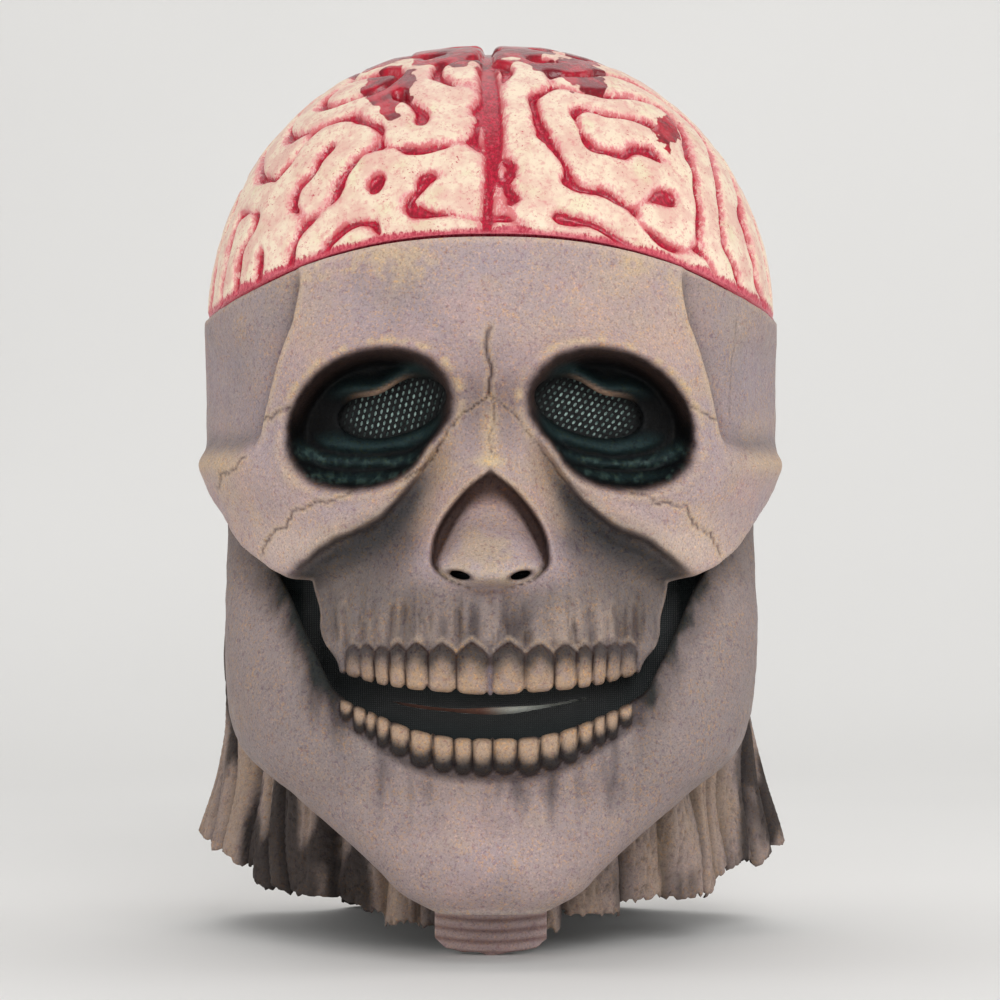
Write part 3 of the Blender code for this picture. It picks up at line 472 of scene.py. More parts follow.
def clip_grid(keep, closed_round):
    """The cells of a grid, cut where keep falls below zero.

    Returns the corners as (grid point, grid point, fraction) and the cells as
    lists of corner numbers.
    """
    rows, columns = keep.shape
    number = np.arange(rows * columns).reshape(rows, columns)
    after = np.roll(number, -1, 1)
    if not closed_round:
        number, after = number[:, :-1], after[:, :-1]
    loops = np.stack([number[:-1], after[:-1], after[1:], number[1:]], axis=-1).reshape(-1, 4)
    flat = keep.ravel()
    inside = flat[loops] > 0
    whole = loops[inside.all(axis=1)]
    cut = loops[inside.any(axis=1) & ~inside.all(axis=1)]
    places, place_of, polygons = [], {}, []

    def corner(first, second, fraction):
        key = (first, second)
        if key not in place_of:
            place_of[key] = len(places)
            places.append((first, second, fraction))
        return place_of[key]

    for loop in cut.tolist():
        polygon = []
        for here, there in zip(loop, loop[1:] + loop[:1]):
            if flat[here] > 0:
                polygon.append(corner(here, here, 0.0))
            if (flat[here] > 0) != (flat[there] > 0):
                low, high = min(here, there), max(here, there)
                fraction = flat[low] / (flat[low] - flat[high])
                polygon.append(corner(low, high, min(max(fraction, 0.05), 0.95)))
        if len(polygon) > 2:
            polygons.append(polygon)
    renumber = np.full(rows * columns, -1)
    for key, place in place_of.items():
        if key[0] == key[1]:
            renumber[key[0]] = place
    more = np.unique(whole)
    more = more[renumber[more] < 0]
    renumber[more] = len(places) + np.arange(len(more))
    first = np.concatenate([[p[0] for p in places], more]).astype(int)
    second = np.concatenate([[p[1] for p in places], more]).astype(int)
    fraction = np.concatenate([[p[2] for p in places], np.zeros(len(more))])
    return first, second, fraction, renumber[whole], polygons, renumber


def open_edges(whole, polygons):
    """The directed edges that only one cell has."""
    starts = [whole.ravel()] if len(whole) else []
    ends = [np.roll(whole, -1, 1).ravel()] if len(whole) else []
    for polygon in polygons:
        starts.append(np.array(polygon))
        ends.append(np.array(polygon[1:] + polygon[:1]))
    starts, ends = np.concatenate(starts), np.concatenate(ends)
    size = max(starts.max(), ends.max()) + 1
    single = ~np.isin(starts * size + ends, ends * size + starts)
    return starts[single], ends[single]


def link(name, mesh, *finishes):
    for finish in finishes:
        mesh.materials.append(finish)
    obj = bpy.data.objects.new(name, mesh)
    bpy.context.scene.collection.objects.link(obj)
    return obj


def fit(piece, body, slot, *nodes):
    """The piece rides on a body and stands in for CAD nodes; slot, a material slot's name, is not
    used.
    """
    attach(piece, body)
    if nodes:
        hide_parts(*nodes)


def made_mesh(build, name):
    mesh = bpy.data.meshes.new(name)
    build.to_mesh(mesh)
    build.free()
    return mesh


def colour_points(mesh, name, colours):
    rgba = np.ones((len(mesh.vertices), 4), np.float32)
    rgba[:, :3] = colours
    layer = mesh.color_attributes.new(name=name, type="FLOAT_COLOR", domain="POINT")
    layer.data.foreach_set("color", rgba.ravel())


def value_points(mesh, name, values):
    layer = mesh.attributes.new(name, "FLOAT", "POINT")
    layer.data.foreach_set("value", np.asarray(values, np.float32))


def sheet(name, outer, inner, finish, keep=None, closed_round=False, cap_top=False,
          paint=None, inside=INSIDE_LATEX, values=None, edge=0.0, inner_share=None):
    """A closed body between an outer and an inner grid of points, with painted points."""
    if keep is None:
        keep = np.ones(outer.shape[:2])
    first, second, fraction, whole, polygons, renumber = clip_grid(keep, closed_round)
    if cap_top:
        columns = keep.shape[1]
        last = renumber[(keep.shape[0] - 1) * columns:]
        polygons.append(list(last))

    def read(grid):
        flat = np.asarray(grid).reshape(keep.size, -1)
        return flat[first] * (1 - fraction[:, None]) + flat[second] * fraction[:, None]

    out_points, in_points = read(outer), read(inner)
    if edge:
        depth = np.clip(read(keep)[:, 0] / edge, 0, 1)
        depth[fraction > 0] = 0
        pull = 0.42 * (1 - np.sqrt(1 - (1 - depth) ** 2))[:, None]
        between = in_points - out_points
        out_points, in_points = out_points + pull * between, in_points - pull * between
    count = len(first)
    starts, ends = open_edges(whole, polygons)
    sides = np.stack([ends, starts, starts + count, ends + count], axis=-1)
    faces = whole.tolist() + polygons
    faces += (whole[:, ::-1] + count).tolist()
    faces += [[corner + count for corner in reversed(polygon)] for polygon in polygons]
    faces += sides.tolist()
    mesh = bpy.data.meshes.new(name)
    mesh.from_pydata(np.concatenate([out_points, in_points]).tolist(), [], faces)
    mesh.shade_smooth()
    if paint is not None:
        shown = read(paint)
        colour_points(mesh, "paint", np.concatenate([shown, np.broadcast_to(inside, shown.shape)]))
    for key, value in (values or {}).items():
        shown = read(value)[:, 0]
        value_points(mesh, key, np.concatenate([shown, 0 * shown]))
    obj = link(name, mesh, finish)
    if inner_share is not None:
        thin_inside(obj, count, inner_share)
    return obj


def thin_inside(obj, outer_count, share):
    """Simplifies the inner wall, which is smooth, and leaves the outer wall alone."""
    group = obj.vertex_groups.new(name="inner_wall")
    group.add(list(range(outer_count, len(obj.data.vertices))), 1.0, "REPLACE")
    thin = obj.modifiers.new("thin_inside", "DECIMATE")
    thin.ratio = share
    thin.vertex_group = group.name
    apply_modifiers(obj)
    obj.vertex_groups.clear()


def apply_modifiers(obj):
    graph = bpy.context.evaluated_depsgraph_get()
    made = bpy.data.meshes.new_from_object(obj.evaluated_get(graph))
    old = obj.data
    obj.modifiers.clear()
    obj.data = made
    made.name = obj.name
    bpy.data.meshes.remove(old)


# The skull


class Clay:
    """A part of the face being sculpted and painted, point by point."""

    def __init__(self, x, y, z):
        self.x, self.y, self.z = x, y, z
        self.side = np.abs(x)
        self.front = smoothstep(0.0, -0.03, y)
        self.place = np.stack([x, y, z], axis=-1)
        self.lift = np.zeros_like(x)
        self.swell = np.zeros_like(x)
        self.paint = np.broadcast_to(BONE, x.shape + (3,)).copy()

    def noise(self, size, seed, stretch=(1, 1, 1)):
        return layered_noise(self.place * stretch, size, seed)

    def coat(self, colour, amount):
        """Paints a colour over the points, as strongly as amount says from 0 to 1."""
        self.paint = blended(self.paint, colour, np.clip(amount, 0, 1))

    def carve(self, line, width, depth, strength, lip):
        """A crack: a dark groove with a lighter lip."""
        away = line_distance(self.x, self.z, line)
        width = 0.72 * width
        self.lift -= depth * hump(away, 0, width) * self.front
        self.coat(OCHRE, 0.6 * lip * hump(away, 2.2 * width, 1.2 * width) * self.front)
        self.coat(UMBER, strength * hump(away, 0, 0.9 * width) * self.front)


def stain(clay):
    """Blotches of ochre, lavender and rose over the bone colour."""
    ochre = clay.noise(0.016, 11)
    mauve = clay.noise(0.021, 23)
    rose = clay.noise(0.013, 37)
    dirt = clay.noise(0.030, 51)
    clay.coat(LAVENDER, 0.34 * smoothstep(0.46, 0.72, mauve))
    clay.coat(ROSE, 0.38 * smoothstep(0.48, 0.75, rose))
    clay.coat(OCHRE, 0.26 * smoothstep(0.50, 0.76, ochre))
    clay.coat(GREY, 0.38 * smoothstep(0.48, 0.80, dirt))


def sculpt_forehead(clay):
    """The brow ridge, worn ochre under the sawn rim and a painted highlight along the rim's lip."""
    ridge_z = 0.217 - 0.008 * ((clay.side - 0.040) / 0.040) ** 2
    ridge = hump(clay.z, ridge_z, 0.009) * smoothstep(0.085, 0.060, clay.side)
    clay.lift += 0.0050 * ridge
    # Rose tint on the ridge, a little lighter than the bone: partly the paint's rose, partly a
    # painted highlight on the ridge.
    clay.coat(ROSE, 0.30 * ridge * clay.front)
    band = smoothstep(-0.026, -0.001, clay.z - clay.rim) * smoothstep(0.095, 0.055, clay.side)
    spots = clay.noise(0.0024, 67) - 0.5
    blotch = clay.noise(0.012, 61) + 0.7 * spots
    clay.coat(OCHRE, 0.55 * band * smoothstep(0.48, 0.72, blotch) * clay.front)
    # Pale band just under the rim: a painted highlight along the rim's lip.
    pale = smoothstep(-0.0022, -0.0006, clay.z - clay.rim)
    clay.coat(srgb(205, 180, 165), 0.65 * pale)


def sculpt_temples(clay):
    """The step down at each temple line, the hollow behind it and the notch above the arch, with
    painted shade beside the step, behind the line and in the notch and a painted highlight along
    the step.
    """
    line_x = curve_through(TEMPLE_LINE, clay.z)
    past = clay.side - line_x
    height = window(clay.z, 0.183, 0.192, 0.240, 0.253)
    step = smoothstep(-0.0018, 0.0022, past) * np.exp(-np.maximum(past, 0) / 0.016)
    clay.swell -= 0.0060 * step * height
    near = ((clay.y + 0.045) / 0.028) ** 2 + ((clay.z - 0.214) / 0.022) ** 2
    hollow = np.exp(-near) * smoothstep(0.070, 0.085, clay.side) * smoothstep(0.231, 0.216, clay.z)
    clay.swell -= 0.0030 * hollow
    # Painted shade just outside the temple line, where the step drops away.
    shade = smoothstep(-0.0018, 0.0014, past) * np.exp(-np.maximum(past, 0) / 0.0045)
    clay.coat(srgb(62, 58, 60), 0.92 * shade * height * clay.front)
    # Painted shade over the side of the head behind the line.
    clay.coat(srgb(132, 122, 122),
              0.45 * smoothstep(0.0, 0.012, past) * smoothstep(0.185, 0.20, clay.z))
    clay.coat(LAVENDER, 0.30 * hollow)
    # A painted highlight along the edge of the step.
    clay.coat(OCHRE, 0.42 * hump(past, -0.0020, 0.0014) * height * clay.front)
    root = hump(clay.z, 0.1865, 0.0050) * smoothstep(0.084, 0.092, clay.side)
    clay.swell -= 0.0022 * root * smoothstep(0.030, -0.010, clay.y)
    # Painted shade in the notch above the arch.
    clay.coat(srgb(98, 94, 98), 0.62 * root * smoothstep(0.060, 0.0, clay.y))


def sculpt_cheeks(clay):
    """The cheekbones and their arches, with painted shade in the hollow under them and painted
    highlights on the arches and the ridge.
    """
    ridge_z = 0.163 + 0.016 * smoothstep(0.050, 0.100, clay.side)
    bone = hump(clay.z, ridge_z, 0.013) * smoothstep(0.035, 0.060, clay.side)
    clay.swell += 0.0040 * bone
    arch = hump(clay.z, 0.1795, 0.0045) * smoothstep(0.080, 0.095, clay.side)
    clay.swell += 0.0012 * arch * smoothstep(0.05, 0.0, clay.y)
    # A painted highlight along the top of each arch.
    clay.coat(OCHRE, 0.5 * arch * smoothstep(0.05, 0.0, clay.y))
    below = clay.z - curve_through(CHEEK_RIDGE, clay.side)
    across = window(clay.side, 0.010, 0.024, 0.066, 0.074)
    below = below + 0.0030 * (clay.noise(0.009, 59) - 0.5)
    under = window(below, -0.036, -0.006, -0.0030, 0.0006)
    clay.lift -= 0.0068 * under * across
    clay.lift += 0.0020 * hump(below, 0.0038, 0.0034) * across
    # Painted shade in the hollow under the cheekbone.
    dark = (hump(below, -0.0072, 0.0070) * smoothstep(0.014, 0.032, clay.side)
            * smoothstep(0.076, 0.060, clay.side))
    clay.coat(SLATE, 0.88 * dark * clay.front)
    painted_shade = window(below, -0.044, -0.016, -0.006, 0.004) * smoothstep(0.016, 0.030, clay.side)
    clay.coat(srgb(74, 68, 68), 0.84 * painted_shade * smoothstep(0.078, 0.064, clay.side) * clay.front)
    between = hump(clay.side, 0.0, 0.022) * hump(clay.z, 0.200, 0.014) * clay.front
    clay.coat(srgb(100, 86, 87), 0.66 * between)
    # Painted highlights on the ridge's edge above the hollow and on the cheekbone's lower corner.
    clay.coat(OCHRE, 0.22 * hump(below, 0.0040, 0.0030) * across * clay.front)
    clay.coat(srgb(196, 176, 166),
              0.5 * hump(clay.side, 0.068, 0.012) * hump(clay.z, 0.150, 0.007) * clay.front)


def sculpt_upper_jaw(clay):
    """The upper jaw, set back under the cheeks, with a groove and a swelling for each root."""
    side = clay.side / 0.062
    cheek_z = 0.149 - 0.010 * smoothstep(0.035, 0.072, clay.side)
    below = smoothstep(cheek_z + 0.002, cheek_z - 0.009, clay.z)
    clay.lift += below * (0.0035 - 0.0150 * side**2)
    clay.lift += 0.0022 * smoothstep(0.119, 0.112, clay.z)
    # Painted shade over the upper jaw where it sits back under the cheeks.
    painted_shade = (smoothstep(0.146, 0.132, clay.z - 0.10 * (clay.side - 0.03))
             * smoothstep(0.075, 0.060, clay.side))
    clay.coat(srgb(112, 102, 99), 0.82 * painted_shade * clay.front)
    rng = np.random.default_rng(5)
    wave = np.clip(2.6 * (clay.noise(0.0058, 71, (1, 1, 0.20)) - 0.5), -0.6, 0.6)
    roots = window(clay.z, 0.1135, 0.1175, 0.122, 0.141)
    roots = roots * smoothstep(0.062, 0.052, clay.side)
    clay.lift += roots * 0.0021 * wave
    # A painted highlight where the root stripes stand out and painted shade where they sink.
    clay.coat(srgb(164, 146, 136), 0.95 * roots * np.clip(wave, 0, 1))
    clay.coat(srgb(62, 54, 55), 1.25 * roots * np.clip(-wave, 0, 1))
    thin = clay.noise(0.0021, 73, (1, 1, 0.12))
    clay.coat(srgb(58, 48, 48), 0.55 * roots * smoothstep(0.56, 0.70, thin))
    for side_sign in (-1, 1):
        for centre, width in UPPER_TEETH:
            x = side_sign * (centre + width / 2) + rng.uniform(-0.0008, 0.0008)
            top = rng.uniform(0.119, 0.1285)
            lean = rng.uniform(-0.002, 0.002)
            line = np.array([(x, 0.1150), (x + 0.4 * lean, (0.1150 + top) / 2), (x + lean, top)])
            clay.carve(line, 0.0012, 0.0010, strength=rng.uniform(0.05, 0.45), lip=0.10)
            bump = hump(clay.x, side_sign * centre, width * 0.32)
            clay.lift += 0.0009 * bump * roots


def tooth_form(clay, centre, width, gum, tip, up):
    """One tooth: up is 1 for an upper tooth, whose gum line is above it."""
    across = (clay.x - centre) / (width / 2)
    inside = np.clip(1 - np.abs(across) ** 3.2, 0, 1)
    arch = gum - up * 0.40 * width * np.abs(across) ** 1.35
    down = (arch - clay.z) * up
    length = np.abs(gum - tip)
    crown = np.sqrt(inside) * np.sqrt(np.clip(smoothstep(-0.0006, 0.0030, down), 0, 1))
    at_tip = (clay.z - tip) * up
    crown = crown * (0.35 + 0.65 * smoothstep(-0.0006, 0.0022, at_tip))
    mask = (np.abs(across) < 1.0) & (down > -0.0006) & (at_tip > -0.004)
    clay.lift += np.where(mask, 0.0021 * crown, 0)
    share = np.clip(down / length, 0, 1)
    tone = smoothstep(0.16, 0.70, share + 0.16 * (clay.noise(0.003, 83) - 0.5))
    body = blended(TOOTH_GREY, TOOTH, tone)
    amount = np.where(mask, smoothstep(0.0, 0.16, inside) * smoothstep(-0.0004, 0.0008, down), 0)
    clay.coat(body, amount)
    mottle = smoothstep(0.50, 0.66, clay.noise(0.0022, 89))
    clay.coat(srgb(150, 134, 134), 0.50 * amount * mottle * tone)
    # A painted highlight just above each gum arch, broken up by noise.
    gum_light = np.where(np.abs(across) < 1.0, hump(down, -0.0017, 0.0008), 0)
    wear_and_painted_light = smoothstep(0.40, 0.62, clay.noise(0.0042, 95))
    clay.coat(srgb(188, 166, 144), 0.45 * gum_light * wear_and_painted_light * clay.front)
    edge = np.where(np.abs(across) < 1.08, hump(down, 0.0, 0.00045), 0)
    edge = edge * smoothstep(1.25, 0.9, np.abs(across))
    sides = hump(np.abs(across) * width / 2, width / 2, 0.00034) * smoothstep(-0.0002, 0.0010, down)
    sides = sides * smoothstep(-0.004, -0.001, at_tip)
    clay.coat(TOOTH_LINE, 0.92 * np.clip(edge + sides, 0, 1) * clay.front)
    clay.lift -= 0.0007 * np.clip(sides, 0, 1)


def sculpt_upper_teeth(clay):
    zone = smoothstep(0.1205, 0.1165, clay.z) * smoothstep(0.0535, 0.050, clay.side)
    clay.coat(SHADE, 0.60 * zone * smoothstep(0.1160, 0.1135, clay.z))
    clay.lift -= 0.0012 * zone * smoothstep(0.1175, 0.1145, clay.z)
    rng = np.random.default_rng(9)
    for side_sign in (-1, 1):
        for centre, width in UPPER_TEETH:
            gum = UPPER_TOOTH_TOP + rng.uniform(-0.0007, 0.0004) - 0.0006 * (centre > 0.030)
            tip = curve_through(TEETH_EDGE, centre)
            shift = rng.uniform(-0.0004, 0.0004)
            tooth_form(clay, side_sign * centre + shift, width * 1.01, gum, tip, 1)
    # Painted shade over the outer ends of the row, which sit back towards the mouth's corners.
    row = smoothstep(0.1180, 0.1160, clay.z) * smoothstep(0.054, 0.052, clay.side)
    clay.coat(srgb(84, 76, 78), 0.42 * row * smoothstep(0.030, 0.050, clay.side) * clay.front)
    gap = hump(clay.x, -0.0002, 0.0011) * smoothstep(0.109, 0.106, clay.z)
    clay.coat(LAVENDER, 0.55 * gap * clay.front)


def sculpt_nose(clay):
    """The nose: a bridge, a pear-shaped hollow with a ball in it, and two nostrils, with painted
    shade in the hollow and painted highlights on its rim, apex, bridge and flanks.
    """
    bridge = window(clay.z, 0.160, 0.172, 0.180, 0.206) * hump(clay.x, 0, 0.012)
    half_width = curve_through(NOSE_WIDTHS, clay.z)
    wall = clay.side - half_width
    inside = smoothstep(0.0006, -0.0016, wall) * smoothstep(0.1335, 0.1365, clay.z)
    inside = inside * smoothstep(0.1772, 0.1745, clay.z) * clay.front
    depth = 0.0024 + 0.0085 * smoothstep(0.139, 0.158, clay.z)
    bulb_width = np.maximum(half_width - 0.0014 - 0.0036 * smoothstep(0.140, 0.156, clay.z), 0.0012)
    round_off = np.clip(1 - (clay.side / bulb_width) ** 2.4, 0, 1) ** 0.55
    bulb = round_off * smoothstep(0.1735, 0.1500, clay.z) * smoothstep(0.1325, 0.1390, clay.z)
    tip = 0.0035 + 0.0090 * bulb * (0.55 + 0.45 * hump(clay.z, 0.146, 0.013))
    clay.lift += 0.0085 * bridge - inside * depth + inside * tip * bulb
    rim = (hump(wall, 0.0014, 0.0016) * smoothstep(0.137, 0.143, clay.z)
           * smoothstep(0.179, 0.174, clay.z))
    clay.lift += 0.0012 * rim
    # A painted highlight on the upper rim of the hollow.
    clay.coat(OCHRE, 0.45 * rim * smoothstep(0.150, 0.168, clay.z) * clay.front)
    # Painted shade in the hollow round the ball and along its wall.
    dark = inside * (1 - smoothstep(0.04, 0.42, bulb))
    dark = dark * smoothstep(0.134, 0.142, clay.z)
    clay.coat(UMBER, 0.93 * dark)
    edge = (hump(wall, -0.0007, 0.0008) * smoothstep(0.1345, 0.1400, clay.z)
            * smoothstep(0.1785, 0.1755, clay.z))
    clay.coat(srgb(34, 22, 20), 0.85 * edge * clay.front)
    # Painted highlights at the apex, down the bridge and along its flanks.
    apex = hump(clay.z, 0.1795, 0.0018) * hump(clay.x, 0, 0.0060)
    clay.coat(srgb(206, 184, 150), 0.80 * apex * clay.front)
    clay.coat(OCHRE, 0.55 * hump(clay.x, 0.0, 0.0030) * smoothstep(0.202, 0.192, clay.z)
              * smoothstep(0.176, 0.180, clay.z) * clay.front)
    flank = hump(clay.side, 0.0165 + 0.35 * (0.180 - clay.z), 0.0035)
    flank = flank * smoothstep(0.196, 0.184, clay.z) * smoothstep(0.150, 0.160, clay.z)
    clay.coat(OCHRE, 0.22 * flank * clay.front)
    # Painted shade in the crease under the nose.
    chin = hump(clay.z, 0.1338, 0.0016) * smoothstep(0.016, 0.006, clay.side)
    clay.lift -= 0.0007 * chin
    clay.coat(srgb(110, 92, 88), 0.5 * chin * clay.front)
    ball = bulb * inside * smoothstep(0.168, 0.150, clay.z)
    mottle = smoothstep(0.42, 0.62, clay.noise(0.006, 113))
    clay.coat(srgb(204, 182, 154), 0.52 * ball * mottle)
    clay.coat(srgb(186, 172, 174), 0.44 * ball * (1 - mottle))
    slit = ellipse_distance(clay.x, clay.z, NOSTRIL, NOSTRIL_HALF, NOSTRIL_TILT)
    clay.coat(srgb(190, 172, 152), 0.55 * hump(slit, 1.75, 0.30) * clay.front)
    clay.coat(srgb(40, 24, 22), 0.8 * smoothstep(1.6, 1.0, slit) * clay.front)


def sculpt_socket(clay):
    """The eye socket, its painted lids and its folds; returns how deep each point lies in it."""
    e = ellipse_distance(clay.x, clay.z, SOCKET, SOCKET_HALF, SOCKET_TILT)
    e = e + 0.016 * (clay.noise(0.007, 91) - 0.5)
    e = e + 0.13 * hump(clay.side, 0.0190, 0.0085) * hump(clay.z, 0.1830, 0.0100)
    h = eye_hole_distance(clay.x, clay.z)
    inside = smoothstep(1.09, 0.80, e) * clay.front
    rim = hump(e, 1.17, 0.07) * clay.front
    clay.lift += 0.0016 * rim
    upper = smoothstep(0.190, 0.206, clay.z)
    rough = clay.noise(0.0035, 97)
    wear_and_painted_light = (0.30 + 0.45 * upper) * hump(e, 1.16, 0.055) * smoothstep(0.35, 0.6, rough)
    clay.coat(OCHRE, wear_and_painted_light * clay.front)
    above = smoothstep(0.198, 0.206, clay.z + 0.15 * (0.040 - clay.side))
    lid = hump(h, 1.26, 0.26) * above
    below = smoothstep(0.197, 0.189, clay.z - 0.25 * (0.040 - clay.side))
    sway = 0.30 * (clay.noise(0.009, 101, (0.6, 1, 1)) - 0.5)
    fold = (h - 1.0 + sway) / 0.52
    rolls = below * smoothstep(3.1, 2.4, h) * (0.5 + 0.5 * np.cos(2 * math.pi * (fold + 0.40)))
    rolls = np.where(h < 1.55, np.maximum(rolls, below * hump(h, 1.26, 0.20)), 0.75 * rolls)
    depth = (socket_floor(clay.x) - 0.0052 * lid - 0.0026 * rolls
             - 0.0030 * smoothstep(1.0, 2.4, h) * below)
    wrinkle = clay.noise(0.0024, 103, (0.5, 1, 1.6)) - 0.5
    depth = depth - 0.0010 * wrinkle * below * smoothstep(1.35, 1.7, h)
    shade = smoothstep(1.085, 0.975, e + 0.05 * (rough - 0.5)) * clay.front
    clay.coat(srgb(70, 54, 54),
              0.85 * smoothstep(1.14, 1.02, e + 0.05 * (rough - 0.5)) * clay.front)
    clay.coat(SOCKET_BLACK, shade)
    pocket = smoothstep(0.046, 0.056, clay.side) * smoothstep(1.0, 1.15, h) * (1 - below)
    clay.coat(srgb(9, 9, 10), 0.85 * shade * pocket)
    clay.coat(srgb(64, 50, 47),
              0.70 * hump(e, 0.985, 0.075) * shade * smoothstep(0.190, 0.202, clay.z))
    fine = smoothstep(0.48, 0.66, clay.noise(0.0016, 107)) * smoothstep(1.4, 1.8, h)
    # Teal on the hanging lid and on the crests of the folds, black between them: partly the
    # socket's black-green paint, partly a painted highlight on the crests.
    teal = 0.72 * lid + rolls * (0.85 - 0.35 * fine)
    clay.coat(TEAL, 0.88 * shade * np.clip(teal, 0, 1) * smoothstep(1.0, 0.88, e))
    clay.coat(srgb(88, 118, 112), 0.45 * shade * below * fine * rolls)
    # A pale crescent on the lid's edge over the hole: partly the raw latex of the cut edge, partly
    # a painted highlight on the lid.
    hang = hump(h, 1.060, 0.075) * above * hump(clay.side, 0.0405, 0.0078)
    clay.coat(srgb(198, 166, 144), 0.95 * shade * np.clip(1.5 * hang, 0, 1))
    return inside, depth, h


def crease_under_cheeks(clay):
    """The rough folded edge where the cheekbone overhangs the upper jaw, with painted shade in and
    under the fold and painted highlights on its lip and the cheekbone's corner.
    """
    below = clay.z - curve_through(CHEEK_RIDGE, clay.side)
    below = below + 0.0034 * (clay.noise(0.008, 59) - 0.5)
    across = window(clay.side, 0.022, 0.036, 0.060, 0.071) * clay.front
    fold = hump(below, -0.0014, 0.0010)
    second = hump(below, -0.0058, 0.0009) * smoothstep(0.46, 0.60, clay.noise(0.011, 65))
    clay.lift -= 0.0016 * (fold + 0.7 * second) * across
    clay.lift += 0.0012 * hump(below, 0.0010, 0.0012) * across
    # Painted shade in the folds.
    clay.coat(srgb(44, 34, 34), across * (0.80 * fold + 0.55 * second))
    # A painted highlight on the lip above the fold.
    clay.coat(srgb(206, 186, 166), 0.45 * across * hump(below, 0.0014, 0.0010))
    # A soft painted shadow under the fold.
    wide = window(clay.side, 0.018, 0.034, 0.064, 0.078) * clay.front
    clay.coat(srgb(56, 55, 57), 0.86 * wide * hump(below, -0.0060, 0.0060))
    # A painted highlight on the cheekbone's lower corner.
    corner = (hump(clay.side, 0.075, 0.012) * hump(clay.z, 0.150, 0.009)
              * smoothstep(-0.001, 0.002, below))
    clay.coat(srgb(208, 186, 172), 0.42 * corner * clay.front)


# Each crack: its line on the face, the seed and reach of its wander, its width and depth, and how
# strong its dark paint and its pale lip are
MIDDLE_CRACKS = (
    (((0.0000, 0.2265), (-0.0018, 0.2215), (0.0004, 0.2120), (-0.0006, 0.2030)),
     1, 0.0004, 0.00085, 0.0016, 0.9, 0.5),
    (((0.0006, 0.2025), (0.0016, 0.1950), (-0.0004, 0.1880), (0.0010, 0.1805)),
     2, 0.0004, 0.00055, 0.0008, 0.6, 0.35),
    (((-0.0010, 0.2020), (-0.0090, 0.1970), (-0.0150, 0.1900), (-0.0205, 0.1800),
      (-0.0300, 0.1730)),
     3, 0.0005, 0.00055, 0.0011, 0.9, 0.35),
    (((0.0012, 0.2018), (0.0080, 0.1965), (0.0125, 0.1905), (0.0178, 0.1838), (0.0262, 0.1730)),
     4, 0.0004, 0.00048, 0.0008, 0.60, 0.35),
)
ORBIT_CRACK = ((0.0715, 0.1992), (0.0760, 0.1975), (0.0790, 0.1955), (0.0835, 0.1952))
CHEEK_CRACK = ((0.0490, 0.1685), (0.0580, 0.1650), (0.0665, 0.1630), (0.0715, 0.1575),
               (0.0790, 0.1530), (0.0830, 0.1460))
SIDE_CRACKS = (
    (((-0.0860, 0.1815), (-0.0905, 0.1760), (-0.0940, 0.1755), (-0.0985, 0.1700)),
     12, 0.0008, 0.00060, 0.0009, 0.6, 0.35),
    (((0.0905, 0.2320), (0.0912, 0.2120), (0.0900, 0.1960)),
     14, 0.0002, 0.00040, 0.0003, 0.35, 0.1),
)


def sculpt_cracks(clay):
    mirrored = []
    for side, seed in ((-1, 5), (1, 8)):
        orbit, cheek = ([(side * x, z) for x, z in line] for line in (ORBIT_CRACK, CHEEK_CRACK))
        mirrored += [(orbit, seed, 0.0006, 0.00060, 0.0009, 0.75, 0.6),
                     (cheek, seed + 1, 0.0009, 0.00060, 0.0010, 0.7, 0.6)]
    for line, seed, wander, width, depth, strength, lip in (*MIDDLE_CRACKS, *mirrored,
                                                            *SIDE_CRACKS):
        clay.carve(jagged(line, seed, wander), width, depth, strength, lip)


def skull_keep(angle, x, z):
    """Above zero where the skull's latex is, about the distance to its free edge."""
    wave = 0.0003 * np.sin(angle * 19) + 0.0001 * np.sin(angle * 47 + 1)
    above_cheek = z - curve_through(SKULL_EDGE, np.degrees(np.abs(angle))) - wave
    half_width = curve_through(MAXILLA_HALF_WIDTHS, z) + 0.0004 * np.sin(z * 390 + x * 9)
    side = np.abs(x)
    notch = 0.0
    for centre, width in UPPER_TEETH:
        across = np.clip(np.abs(side - centre) / (width / 2), 0, 1.0)
        notch = np.where(np.abs(side - centre) <= width / 2, 0.0021 * across**5, notch)
    above_teeth = z - curve_through(TEETH_EDGE, side) - notch
    forward = np.where(np.cos(angle) > 0, half_width - side, -1.0)
    keep = np.maximum(above_cheek, np.minimum(forward, above_teeth))
    front = np.cos(angle) > 0.2
    hole = (eye_hole_distance(x, z) - 1) * EYE_HOLE_HALF[1]
    slit = (ellipse_distance(x, z, NOSTRIL, NOSTRIL_HALF, NOSTRIL_TILT) - 1) * NOSTRIL_HALF[1]
    return np.where(front, np.minimum(keep, np.minimum(hole, slit)), keep)


def inward_offset(angle, z, outer):
    """From the skull's outer points to its inner ones: straight back behind the face."""
    out_x, out_y = skull_outward(angle, z)
    behind_face = (smoothstep(0.090, 0.076, np.abs(outer[..., 0]))
                   * smoothstep(0.0, -0.03, outer[..., 1]))
    x = -out_x * (1 - behind_face)
    y = -out_y * (1 - behind_face) + behind_face
    way = np.stack([x, y, 0 * x], axis=-1)
    way /= np.linalg.norm(way, axis=-1, keepdims=True)
    facing = -np.sum(way * grid_normals(outer, True), axis=-1, keepdims=True)
    return way * LATEX / np.clip(facing, LEAST_FACING, 1)


def uneven_rows(stops, spacings):
    """Rising heights whose spacing changes at the stops."""
    runs = [
        np.linspace(low, high, int(round((high - low) / spacing)), endpoint=False)
        for low, high, spacing in zip(stops[:-1], stops[1:], spacings)
    ]
    return np.concatenate(runs + [[stops[-1]]])


